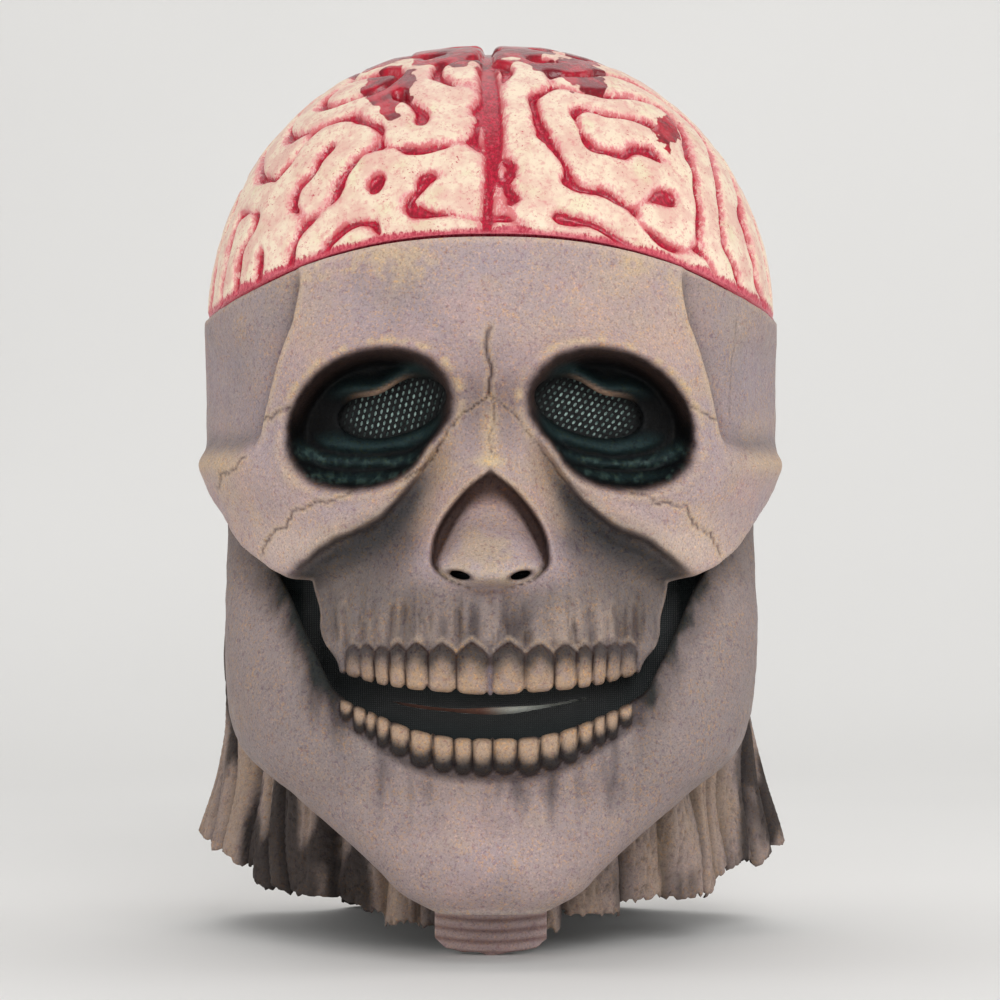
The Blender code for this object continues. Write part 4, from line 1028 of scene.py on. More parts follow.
def skull_grid():
    coarse = coarser()

    def spacing(angle):
        away = np.degrees(np.abs((angle + math.pi) % (2 * math.pi) - math.pi))
        wider = 0.00045 * smoothstep(42, 72, away) + 0.0025 * smoothstep(84, 100, away)
        return coarse * (0.00085 + wider)

    angles = even_places(lambda a: skull_base(a, 0.16 + 0 * a), -math.pi, math.pi, spacing)[:-1]
    stops = (0.0, 0.16, 0.55, 0.78, 1.0)
    height = RIM_SIDE_Z + RIM_FRONT_RISE - SKULL_BOTTOM
    spacings = [coarse * step / height for step in (0.00075, 0.00095, 0.00095, 0.0013)]
    rows = uneven_rows(stops, spacings)
    angle = np.broadcast_to(angles, (len(rows), len(angles)))
    z = SKULL_BOTTOM + (rim_height(angle) - SKULL_BOTTOM) * rows[:, None]
    return angle, z


def build_skull(finish):
    angle, z = skull_grid()
    x, y = skull_base(angle, z)
    clay = Clay(x, y, z)
    clay.rim = rim_height(angle)
    stain(clay)
    sculpt_forehead(clay)
    sculpt_temples(clay)
    sculpt_cheeks(clay)
    sculpt_upper_jaw(clay)
    sculpt_nose(clay)
    sculpt_upper_teeth(clay)
    crease_under_cheeks(clay)
    sculpt_cracks(clay)
    in_socket, floor_y, hole = sculpt_socket(clay)
    grain = clay.noise(0.0045, 131) - 0.5
    clay.swell += 0.0007 * grain + 0.0016 * (clay.noise(0.028, 137) - 0.5)
    out_x, out_y = skull_outward(angle, z)
    swell = clay.swell * np.maximum(clay.front, 0.4)
    face_x = x + swell * out_x
    face_y = y + swell * out_y - clay.front * clay.lift
    face_y = face_y * (1 - in_socket) + floor_y * in_socket
    outer = np.stack([face_x, face_y, z], axis=-1)
    inner = outer + inward_offset(angle, z, outer)
    keep = skull_keep(angle, x, z)
    hem = (smoothstep(0.004, 0.0005, np.where(clay.side > 0.058, keep, 1))
           * smoothstep(0.8, 1.2, hole))
    clay.coat(srgb(196, 176, 166), 0.45 * hem * smoothstep(0.0015, 0.0, keep))
    skull = sheet("skull_casting", outer, inner, finish, keep=keep, closed_round=True,
                  paint=clay.paint, edge=0.0011, inner_share=0.62)
    fit(skull, "head", "skull_latex", "skull_shell")


# The brain

BRAIN_RADIUS = 0.107
BRAIN_ARC = 0.165
FOLD_WIDTH = 0.0182
FOLD_HEIGHT = 0.0032
PATTERN_ROWS = 176
PATTERN_COLUMNS = 672
PATTERN_ROUNDS = 110
# Wet spots on the front of the dome: place across, height and radius
WET_SPOTS = ((-0.0370, 0.3200, 0.0095), (0.0330, 0.3240, 0.0085), (0.0640, 0.3010, 0.0052))


def row_blur(field, sigma, around):
    """Blurs each row round the head; sigma and around (the row's length) in metres."""
    waves = np.fft.rfftfreq(field.shape[1], 1 / field.shape[1])
    damp = np.exp(-0.5 * (2 * math.pi * waves[None] * sigma / around[:, None]) ** 2)
    return np.fft.irfft(np.fft.rfft(field, axis=1) * damp, n=field.shape[1], axis=1)


def column_blur(field, step, sigma):
    """Blurs up and down the dome; the field runs up one side and down the other."""
    waves = np.fft.rfftfreq(field.shape[0], step)[:, None]
    damp = np.exp(-0.5 * (2 * math.pi * waves * sigma) ** 2)
    return np.fft.irfft(np.fft.rfft(field, axis=0) * damp, n=field.shape[0], axis=0)


def brain_pattern():
    """A field over (rise, angle) that is -1 along the furrows and 1 along the folds.

    Blurring the field at two scales, taking the difference and flattening it
    again and again lets folds of one width grow into a maze.
    """
    rows, columns = PATTERN_ROWS, PATTERN_COLUMNS
    rise = (np.arange(rows) + 0.5) / rows
    angle = np.arange(columns) / columns * 2 * math.pi
    step = BRAIN_ARC / rows
    around = 2 * math.pi * BRAIN_RADIUS * np.maximum(np.cos(rise * math.pi / 2), 0.03) ** 0.91
    middle = np.abs(np.sin(angle))[None] * around[:, None] / (2 * math.pi)
    rng = np.random.default_rng(41)
    field = rng.normal(size=(rows, columns))
    tall = np.cos(around[:, None] * angle / FOLD_WIDTH)
    beside = (smoothstep(0.55, 0.9, np.abs(np.sin(angle)))[None]
              * smoothstep(0.60, 0.25, rise)[:, None])
    field = field * (1 - 0.2 * beside) + 0.5 * beside * tall
    narrow, wide = 0.175 * FOLD_WIDTH, 0.28 * FOLD_WIDTH
    around_both = np.concatenate([around, around[::-1]])

    def blur(flat, sigma):
        over = np.roll(flat[::-1], columns // 2, axis=1)
        whole = row_blur(np.concatenate([flat, over]), sigma, around_both)
        return column_blur(whole, step, sigma)[:rows]

    fissure = middle < 0.0015
    for _ in range(PATTERN_ROUNDS):
        field = np.tanh(9.0 * (blur(field, narrow) - blur(field, wide)))
        field[fissure] = -1.0
    smooth = blur(field, narrow) - blur(field, wide)
    level = np.sqrt(np.maximum(blur(smooth**2, FOLD_WIDTH * 0.6), 1e-9))
    return np.clip(smooth / (1.24 * level), -1, 1)


def read_pattern(pattern, rise, angle):
    """The pattern at any place, mixed between its nearest grid points."""
    rows, columns = pattern.shape
    row = np.clip(rise * rows - 0.5, 0, rows - 1.001)
    col = (angle / (2 * math.pi)) % 1 * columns
    low_row, low_col = np.floor(row).astype(int), np.floor(col).astype(int) % columns
    part_row, part_col = row - np.floor(row), col - np.floor(col)
    next_col = (low_col + 1) % columns
    low = pattern[low_row, low_col] * (1 - part_col) + pattern[low_row, next_col] * part_col
    above = pattern[low_row + 1, low_col], pattern[low_row + 1, next_col]
    high = above[0] * (1 - part_col) + above[1] * part_col
    return low * (1 - part_row) + high * part_row


def build_brain(finish):
    """The brain: a folded dome on a skirt that sits inside the skull's rim."""
    coarse = coarser()
    columns = int(560 / coarse)
    rows = int(140 / coarse)
    angles = np.linspace(0, 2 * math.pi, columns, endpoint=False)
    rise = np.linspace(0, 0.994, rows)[:, None]
    angle = np.broadcast_to(angles, (rows, columns))
    smooth = dome_surface(angle, rise + 0 * angle)
    normals = grid_normals(smooth, True)
    pattern = brain_pattern()
    wander = layered_noise(smooth, 0.012, 201) - 0.5
    drift = layered_noise(smooth, 0.036, 203) - 0.5
    twist = layered_noise(smooth, 0.030, 207) - 0.5
    value = read_pattern(pattern, rise + 0.020 * wander + 0.14 * drift,
                         angle + 0.04 * wander + 0.22 * twist)
    away = np.arccos(np.clip(-value, -1, 1)) / math.pi * FOLD_WIDTH / 2
    fissure = np.abs(smooth[..., 0] - 0.0012 * np.sin(smooth[..., 2] * 90))
    half_gap = (0.0008 + 0.0017 * smoothstep(0.268, 0.300, smooth[..., 2])
                * smoothstep(0.334, 0.318, smooth[..., 2]))
    deep = smoothstep(half_gap + 0.0022, half_gap - 0.0006, fissure)
    away = np.minimum(away, np.maximum(fissure - half_gap, 0))
    rim_away = (rise + 0 * angle) * BRAIN_ARC
    away = np.minimum(away, 0.0012 + np.maximum(rim_away - 0.0012, 0) * 1.2)
    round_top = np.sqrt(1 - (1 - np.clip((away - 0.0004) / 0.0046, 0, 1)) ** 2)
    height = FOLD_HEIGHT * (round_top - 1) - 0.0020 * deep
    height = height * smoothstep(-0.001, 0.006, rim_away) - 0.0006 * smoothstep(0.004, 0, rim_away)
    lump = layered_noise(smooth, 0.010, 211) - 0.5
    height = height + 0.0010 * lump * smoothstep(0.002, 0.005, away)
    wall = LATEX + 0.0016 * smoothstep(0.0, 0.08, rise)
    height = np.maximum(height, 0.0009 - wall)
    dome = smooth + normals * height[..., None]

    x, y = skull_base(angles, rim_height(angles))
    lap = 1 - (LATEX + 3 * GAP) / RIM_RADIUS
    shelf = np.stack([x * lap, SKULL_CENTRE_Y + (y - SKULL_CENTRE_Y) * lap, smooth[0, :, 2]],
                     axis=-1)
    dome[0] = smooth[0]
    skirt = shelf - (0, 0, SKIRT_DEPTH)
    outer = np.concatenate([skirt[None], shelf[None], dome])
    thin = 1 - LATEX / RIM_RADIUS
    centre = np.array([0, SKULL_CENTRE_Y, 0])
    inner_skirt = centre + (skirt - centre) * (thin, thin, 1)
    inner = np.concatenate([
        inner_skirt[None],
        inner_skirt[None] + (0, 0, SKIRT_DEPTH + LATEX / 2),
        inner_skirt[None] + (0, 0, SKIRT_DEPTH + LATEX),
        (smooth - wall[..., None] * normals)[1:],
    ])

    def padded(grid, start):
        return np.concatenate([np.full((2, columns), start), grid])

    band = smoothstep(0.0060, 0.0004, rim_away + 0.006 * lump)
    top = smoothstep(0.312, 0.334,
                     smooth[..., 2] + 0.034 * (layered_noise(smooth, 0.022, 223) - 0.5))
    side_patch = smoothstep(0.050, 0.030, np.abs(np.abs(smooth[..., 0]) - 0.018))
    patch = smoothstep(0.50, 0.60,
                       layered_noise(smooth, 0.016, 227) * top * side_patch + 0.28 * top)
    for spot_x, spot_z, reach in WET_SPOTS:
        off = np.hypot(smooth[..., 0] - spot_x, 0.8 * (smooth[..., 2] - spot_z)) / reach
        ragged = 1.6 * (layered_noise(smooth, 0.8 * reach, 229) - 0.5)
        patch = np.maximum(patch, smoothstep(1.15, 0.80, off + ragged) * (smooth[..., 1] < 0))
    values = {
        "furrow": padded(np.clip(away / 0.0060, 0, 1), 0.0),
        "band": padded(band, 1.0),
        "blood": padded(np.clip(patch + 0.25 * deep, 0, 1), 0.0),
    }
    brain = sheet("brain_casting", outer, inner, finish, closed_round=True, cap_top=True,
                  paint=np.broadcast_to(BONE, outer.shape), values=values, inner_share=0.62)
    fit(brain, "head", "brain_latex", "brain_cap")


# The jaw


def sculpt_lower_teeth(clay):
    """The lower row: short teeth on a bulging gum, dark between and behind them."""
    rng = np.random.default_rng(19)
    edge = curve_through(LOWER_TEETH_EDGE, clay.side)
    gum = curve_through(LOWER_GUM_LINE, clay.side)
    zone = smoothstep(gum - 0.0040, gum - 0.0005, clay.z) * smoothstep(0.057, 0.053, clay.side)
    clay.coat(SHADE, 0.85 * zone)
    clay.coat(srgb(38, 34, 34), 0.9 * zone * smoothstep(edge - 0.0015, edge + 0.0012, clay.z))
    clay.lift += 0.0030 * smoothstep(gum - 0.004, gum + 0.003, clay.z) * hump(clay.x, 0, 0.055)
    for centre, width in LOWER_TEETH:
        side = abs(centre)
        tip = curve_through(LOWER_TEETH_EDGE, side) + rng.uniform(-0.0006, 0.0006)
        root = curve_through(LOWER_GUM_LINE, side) + rng.uniform(-0.0005, 0.0008)
        across = (clay.x - centre) / (width / 2)
        inside = np.clip(1 - np.abs(across) ** 3.0, 0, 1)
        bottom = root + 0.0020 * np.abs(across) ** 2.2
        height = clay.z - bottom
        top = tip - 0.0010 * np.abs(across) ** 3.5
        mask = np.abs(across) < 1.0
        crown = np.sqrt(inside) * np.sqrt(smoothstep(-0.0004, 0.0030, height))
        crown = crown * smoothstep(0.0012, -0.0016, clay.z - top)
        clay.lift += np.where(mask, 0.0022 * crown, 0)
        share = height / (tip - root)
        tone = smoothstep(0.22, 0.62, share + 0.12 * (clay.noise(0.003, 83) - 0.5))
        body = blended(srgb(52, 48, 48), TOOTH, tone)
        amount = np.where(mask, smoothstep(0.0, 0.2, inside) * smoothstep(-0.0005, 0.0006, height),
                          0)
        clay.coat(body, amount * smoothstep(0.0004, -0.0008, clay.z - top))
        outline = hump(height, -0.0002, 0.0006) * (np.abs(across) < 1.05)
        sides = hump(np.abs(across) * width / 2, width / 2, 0.00045)
        sides = (sides * smoothstep(-0.0004, 0.0008, height)
                 * smoothstep(0.0010, -0.0006, clay.z - top))
        clay.coat(srgb(36, 28, 28), 0.8 * np.clip(outline + sides, 0, 1))
        clay.lift -= 0.0006 * np.clip(sides, 0, 1)


def shade_row_ends(clay):
    """Soft black over the tips and the outer ends of the lower row."""
    edge = curve_through(LOWER_TEETH_EDGE, clay.side)
    tips = smoothstep(edge - 0.0034, edge + 0.0006, clay.z) * smoothstep(0.060, 0.052, clay.side)
    ends = smoothstep(0.026, 0.052, clay.side)
    clay.coat(srgb(34, 32, 32), tips * (0.25 + 0.60 * ends))


def sculpt_jaw(clay, keep):
    """The chin, root grooves, dark edge paint, painted shade and painted highlights of the lower
    jaw; keep is the distance to its upper edge.
    """
    # Painted shade over the jaw, leaving the lit chin lighter.
    lit = hump(clay.z, 0.041, 0.024) * hump(clay.x, 0, 0.042)
    clay.coat(srgb(132, 120, 118), 0.80 * (1 - lit))
    clay.lift += 0.0030 * hump(clay.z, 0.058, 0.010) * -hump(clay.x, 0, 0.050)
    clay.lift += 0.0025 * hump(clay.z, 0.034, 0.012) * hump(clay.x, 0, 0.022)
    wave = clay.noise(0.0055, 151, (1, 1, 0.25)) - 0.5
    gum = curve_through(LOWER_GUM_LINE, clay.side)
    roots = smoothstep(gum + 0.0005, gum - 0.0025, clay.z) * smoothstep(0.043, 0.063, clay.z)
    roots = roots * smoothstep(0.056, 0.046, clay.side)
    clay.lift += 0.0025 * roots * wave
    # Painted shade where the root stripes sink and a painted highlight where they stand out.
    clay.coat(srgb(90, 80, 82), 2.8 * roots * np.clip(-wave, 0, 1))
    clay.coat(srgb(166, 151, 142), 1.1 * roots * np.clip(wave, 0, 1))
    cheek = clay.noise(0.020, 157, (1, 1, 0.5)) - 0.5
    clay.lift += 0.0018 * cheek
    # Dark along the jaw's upper edge beyond the teeth: partly dark paint on the edge, partly
    # painted shade under the cheekbone, stronger on the left.
    past_teeth = smoothstep(0.046, 0.056, clay.side)
    streak = clay.noise(0.0045, 167, (1, 1, 0.25))
    edge = np.clip(keep, 0, 1) + 0.022 * (streak - 0.5)
    rise = smoothstep(0.152, 0.134, clay.z)
    wear_and_painted_light = np.where(clay.x < 0, 0.85, 0.60)
    clay.coat(srgb(58, 48, 48), wear_and_painted_light * past_teeth * smoothstep(0.0300, 0.0040, edge) * rise)
    clay.coat(srgb(34, 40, 40), 0.90 * past_teeth * smoothstep(0.0100, 0.0010, edge) * rise)
    # Painted shade on the upper back of the jaw, under the cheekbone.
    clay.coat(srgb(100, 88, 84),
              0.55 * smoothstep(0.122, 0.150, clay.z) * smoothstep(0.068, 0.085, clay.side))
    chin = smoothstep(0.0028, 0.0004, clay.z - JAW_BOTTOM) * smoothstep(0.032, 0.024, clay.side)
    clay.coat(srgb(186, 172, 164), 0.5 * chin)
    under = (hump(clay.z, 0.074, 0.007) * smoothstep(0.030, 0.045, clay.side)
             * smoothstep(0.066, 0.054, clay.side))
    clay.coat(GREY, 0.35 * under)


def build_jaw(finish):
    coarse = coarser()
    reach = even_places(
        lambda a: jaw_form(a, 0.075 + 0 * a), -1, 1,
        lambda a: coarse * (0.00078 + 0.0006 * smoothstep(0.35, 0.6, np.abs(a))),
    )
    spacings = (coarse * 0.0012, coarse * 0.00078, coarse * 0.0012)
    heights = uneven_rows((JAW_BOTTOM, 0.062, 0.100, JAW_TOP), spacings)
    across = np.broadcast_to(reach, (len(heights), len(reach)))
    z = np.broadcast_to(heights[:, None], across.shape)
    x, y = jaw_form(across, z)
    base = np.stack([x, y, z], axis=-1)
    side = np.abs(x)
    teeth_top = curve_through(LOWER_TEETH_EDGE, side)
    for centre, width in LOWER_TEETH:
        off = np.clip(np.abs(x - centre) / (width / 2), 0, 1)
        teeth_top = np.where(np.abs(x - centre) <= width / 2, teeth_top - 0.0004 - 0.0011 * off**4,
                             teeth_top)
    edge_z = np.where(side < 0.0525, teeth_top,
                      curve_through(JAW_EDGE, side) + 0.0003 * np.sin(z * 300))
    keep = np.minimum(edge_z - z, 1)
    clay = Clay(x, y, z)
    clay.front = np.ones_like(x)
    stain(clay)
    sculpt_jaw(clay, keep)
    sculpt_lower_teeth(clay)
    shade_row_ends(clay)
    grain = clay.noise(0.0045, 163) - 0.5
    normals = grid_normals(base, False)
    facing = smoothstep(0.080, 0.050, side)
    way = blended(normals, np.array([0, -1, 0]), facing)
    outer = base + way * (clay.lift + 0.0007 * grain)[..., None]
    inner = base - LATEX * normals + way * np.minimum(clay.lift, 0)[..., None]
    inner[0, :, 2] = outer[0, :, 2]
    jaw = sheet("jaw_casting", outer, inner, finish, keep=keep, paint=clay.paint, edge=0.0011)
    fit(jaw, "jaw", "jaw_latex", "jaw_shell")


# The neck sleeve and the throat


def strands(angle, height, count, seed, drift):
    """Rounded strands round the sleeve.

    Gives each point's height on its strand, the strand's number, the place across it from -1 to 1
    and its width beside the mean.
    """
    rng = np.random.default_rng(seed)
    share = rng.uniform(0.55, 1.6, count)
    edges = np.concatenate([[0], np.cumsum(share)]) / share.sum()
    sway = rng.uniform(0, 2 * math.pi, count + 1)
    sway[-1] = sway[0]
    turn = (angle / (2 * math.pi)) % 1
    turn = turn + drift * np.sin(height * 55 + np.interp(turn, edges, np.unwrap(sway)))
    turn = turn % 1
    number = np.clip(np.searchsorted(edges, turn, side="right") - 1, 0, count - 1)
    width = edges[number + 1] - edges[number]
    across = (turn - edges[number]) / width * 2 - 1
    return np.clip(1 - np.abs(across) ** 2.2, 0, 1) ** 0.6, number, across, width * count


SLEEVE_FOLDS = 44
SLEEVE_WRINKLES = 250
SLEEVE_WALL = 0.0020


def build_sleeve(finish):
    """The pleated neck sleeve, with a ragged hem and a plain inner wall."""
    coarse = coarser()
    columns, rows = int(720 / coarse), int(100 / coarse)
    angle = np.broadcast_to(np.linspace(-math.pi, math.pi, columns, endpoint=False),
                            (rows, columns))
    rise = np.linspace(0, 1, rows)[:, None] ** 0.9
    degrees = np.degrees(np.abs(angle))
    hem = np.maximum(curve_through(DRAPE_HEM, degrees), 0)
    top = curve_through(DRAPE_TOP, degrees)
    z = hem + (top - hem) * rise
    down = 1 - smoothstep(0.0, 0.110, z)
    lean = angle + 0.26 * down * np.sin(angle)
    big, number, across, size = strands(lean, z, SLEEVE_FOLDS, 301, 0.0046)
    fine, small, _, _ = strands(lean + 0.05 * across, z, SLEEVE_WRINKLES, 307, 0.0022)
    rng = np.random.default_rng(311)
    stand = rng.uniform(0.4, 1.0, SLEEVE_FOLDS)[number]
    loose = 1 - smoothstep(0.40, 0.92, rise)
    swell = (0.0060 * big * stand * size**0.5 - 0.0036) * loose + 0.0013 * (fine - 0.5) * loose
    billow = 0.0030 * np.sin(angle * 9 + 1.3 + 20 * z) * loose
    fold = swell + billow
    outer = sleeve_base(angle, z, fold)
    ragged = rng.uniform(0.0, 0.0070, SLEEVE_FOLDS)[number]
    ragged = ragged + rng.uniform(-0.0022, 0.0022, SLEEVE_FOLDS)[number] * across
    ragged = ragged + rng.uniform(0, 0.0020, SLEEVE_WRINKLES)[small]
    at_back = smoothstep(135, 160, degrees)
    ragged = ragged * (1 - at_back) + 0.35 * ragged * at_back
    keep = z - hem - ragged
    flat = grid_normals(sleeve_base(angle, z), True)
    flat[..., 2] = 0
    flat /= np.maximum(np.linalg.norm(flat, axis=-1, keepdims=True), 1e-9)
    inner = outer - SLEEVE_WALL * flat
    clay = Clay(outer[..., 0], outer[..., 1], z)
    stain(clay)
    crease = np.clip(1.1 - big, 0, 1) ** 1.5 * loose
    clay.coat(srgb(130, 115, 108), 0.70 + 0 * z)
    # Painted shade in the creases between folds and in the fine wrinkles, and a painted highlight
    # on the fold crests.
    clay.coat(srgb(46, 41, 40), 0.90 * crease)
    clay.coat(srgb(58, 48, 45), 0.80 * np.clip(0.5 - fine, 0, 1) * 2 * loose)
    clay.coat(srgb(178, 156, 140), 0.55 * np.clip(big * stand - 0.45, 0, 1) * loose)
    tone = clay.noise(0.016, 317, (1, 1, 0.3))
    # Dark patches of smoke paint, made larger and more common on the left front as painted shade on
    # that side.
    dim = (0.085 * smoothstep(0.03, -0.03, clay.x) - 0.04) * smoothstep(0.03, -0.01, clay.y)
    clay.coat(srgb(38, 35, 35), 0.88 * smoothstep(0.50, 0.62, tone + dim) * loose)
    clay.coat(srgb(170, 146, 122), 0.35 * smoothstep(0.55, 0.35, tone) * loose)
    sleeve = sheet("neck_sleeve", outer, inner, finish, keep=keep, closed_round=True,
                   paint=clay.paint, edge=0.0012)
    fit(sleeve, "head", "neck_latex", "neck_drape")


def build_throat(finish):
    """The ringed tongue of latex under the chin."""
    low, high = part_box("throat_panel")
    half = (high.x - low.x) / 2
    coarse = coarser()
    columns, rows = int(64 / coarse), int(84 / coarse)
    radius = 0.042
    spread = math.asin(half / radius)
    angle = np.broadcast_to(np.linspace(-spread, spread, columns), (rows, columns))
    share = np.linspace(0, 1, rows)[:, None]
    corner = 1 - np.sqrt(1 - np.clip(np.abs(angle) / spread - 0.30, 0, 1) ** 2)
    jag = 0.0016 * layered_noise(np.stack([angle, 0 * angle, 0 * angle], axis=-1), 0.10, 401)
    bottom = 0.016 * corner + jag * smoothstep(0.0, 0.3, np.abs(angle) / spread)
    z = bottom + (high.z - bottom) * share
    ring = (z + 0.0012 * np.cos(angle * 3)) / 0.0040
    groove = hump(ring % 1, 0.5, 0.16)
    x = radius * np.sin(angle)
    y = low.y + radius * (1 - np.cos(angle)) + 0 * z
    lump = layered_noise(np.stack([x + 0 * z, y, z], axis=-1), 0.006, 403) - 0.5
    outer = np.stack([x + 0 * z, y + 0.0011 * groove + 0.0012 * lump, z], axis=-1)
    inner = outer.copy()
    inner[..., 0] *= 1 - LATEX / radius
    inner[..., 1] = y + LATEX
    clay = Clay(outer[..., 0], outer[..., 1], z)
    stain(clay)
    clay.coat(srgb(204, 174, 168), 0.36 + 0 * z)
    # Painted shade in the ring grooves.
    clay.coat(srgb(118, 84, 80), 0.65 * groove)
    clay.coat(srgb(60, 48, 46), 0.60 * smoothstep(0.014, 0.028, z))
    throat = sheet("throat_tongue", outer, inner, finish, paint=clay.paint)
    fit(throat, "head", "neck_latex", "throat_panel")


# Eye nets

NET_PITCH = 0.0024
NET_HOLE = 0.00074
NET_LEAN = math.radians(60)
NET_MARGIN = 0.0034
NET_THICKNESS = 0.0005
SCRIM_THICKNESS = 0.0003
SCRIM_BEHIND = 0.0007
SCRIM_RINGS, SCRIM_STEPS = 8, 40


def solidified(mesh, name, thickness, *finishes):
    """Gives an open mesh a thickness behind it, with closed sides."""
    obj = link(name, mesh, *finishes)
    wall = obj.modifiers.new("thickness", "SOLIDIFY")
    wall.thickness = thickness
    wall.offset = -1
    wall.use_even_offset = False
    apply_modifiers(obj)
    return obj


def net_mesh(name, half):
    """A flat sheet with a hexagonal grid of six-sided holes."""
    build = bmesh.new()
    corners = {}

    def corner(x, z):
        key = (round(x, 6), round(z, 6))
        if key not in corners:
            corners[key] = build.verts.new((x, 0, z))
        return corners[key]

    rise = NET_PITCH * math.sqrt(3) / 2
    outer = NET_PITCH / math.sqrt(3)

    def hole(x, z, turn):
        """A corner of a hole, which is longer along its diagonal."""
        along, over = (NET_HOLE * 1.30 * math.cos(turn - NET_LEAN),
                       NET_HOLE * 0.74 * math.sin(turn - NET_LEAN))
        across = along * math.cos(NET_LEAN) - over * math.sin(NET_LEAN)
        return corner(x + across, z + along * math.sin(NET_LEAN) + over * math.cos(NET_LEAN))

    turns = [math.radians(30 + 60 * n) for n in range(6)]
    for row in range(-12, 13):
        for step in range(-14, 15):
            x = NET_PITCH * (step + 0.5 * (row % 2))
            z = rise * row
            if (x / half[0]) ** 2 + (z / half[1]) ** 2 > 1:
                continue
            for first, second in zip(turns, turns[1:] + turns[:1]):
                ring = [
                    corner(x + outer * math.cos(first), z + outer * math.sin(first)),
                    corner(x + outer * math.cos(second), z + outer * math.sin(second)),
                    hole(x, z, second),
                    hole(x, z, first),
                ]
                build.faces.new(ring)
    return made_mesh(build, name)


def oval_cloth(name, half, thickness, finish):
    """A thin oval of cloth whose colour fades towards its rim."""
    build = bmesh.new()
    rings = [[build.verts.new((0, 0, 0))]]
    for ring in range(1, SCRIM_RINGS + 1):
        loop = []
        for step in range(SCRIM_STEPS):
            turn = step / SCRIM_STEPS * 2 * math.pi
            x = half[0] * ring / SCRIM_RINGS * math.cos(turn)
            z = half[1] * ring / SCRIM_RINGS * math.sin(turn)
            loop.append(build.verts.new((x, 0, z)))
        rings.append(loop)
    for step in range(SCRIM_STEPS):
        build.faces.new([rings[0][0], rings[1][step], rings[1][(step + 1) % SCRIM_STEPS]])
    for inner, outer in zip(rings[1:-1], rings[2:]):
        for step in range(SCRIM_STEPS):
            after = (step + 1) % SCRIM_STEPS
            build.faces.new([inner[step], outer[step], outer[after], inner[after]])
    bmesh.ops.recalc_face_normals(build, faces=build.faces)
    mesh = made_mesh(build, name)
    out = [math.hypot(v.co.x / half[0], v.co.z / half[1]) for v in mesh.vertices]
    value_points(mesh, "fade", [smoothstep(0.84, 0.52, share) for share in out])
    mesh.shade_smooth()
    return solidified(mesh, name, thickness, finish)


def build_eye_net(word, side, net_finish, scrim_finish):
    """The net in one eye hole and the pale lining behind it."""
    low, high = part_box(f"eye_mesh_{word}")
    centre = (low + high) / 2
    place = (
        Matrix.Translation((centre.x, SOCKET_FLOOR_Y + MESH_BEHIND + 0.0005, centre.z))
        @ Matrix.Rotation(side * math.atan(SOCKET_FLOOR_SLOPE), 4, "Z")
        @ Matrix.Rotation(side * EYE_HOLE_TILT, 4, "Y")
    )
    half = (EYE_HOLE_HALF[0] + NET_MARGIN, EYE_HOLE_HALF[1] + NET_MARGIN)
    name = f"eye_net_{word}"
    net = solidified(net_mesh(name, half), name, NET_THICKNESS, net_finish)
    net.data.transform(place)
    scrim = oval_cloth(f"eye_scrim_{word}", half, SCRIM_THICKNESS, scrim_finish)
    scrim.data.transform(place @ Matrix.Translation((0, SCRIM_BEHIND, 0)))
    fit(net, "head", "eye_fabric", f"eye_mesh_{word}")
    fit(scrim, "head", "eye_fabric")


# Mouth cloth

MOUTH_HALF_WIDTH = 0.0800
# height and half width of the cloth's outline
MOUTH_OUTLINE = (
    (0.062, 0.052), (0.080, 0.060), (0.100, 0.0665), (0.116, 0.0715), (0.130, 0.0770),
    (0.140, 0.0800),
)
MOUTH_LOW, MOUTH_HIGH = 0.0620, 0.1400
SLIT_HALF_WIDTH = 0.0355


def mouth_depth(x, z):
    """Front-to-back place of the cloth behind the teeth."""
    share = smoothstep(0.078, 0.106, z)
    low = -0.0980 + 0.0180 * (x / 0.054) ** 2
    high = -0.1010 + 0.0540 * (x / 0.070) ** 2
    return np.minimum(low * (1 - share) + high * share, -0.0478)


def slit_height(x):
    return 0.0915 + 0.0036 * (x / SLIT_HALF_WIDTH) ** 2 + 0.0008 * x / SLIT_HALF_WIDTH


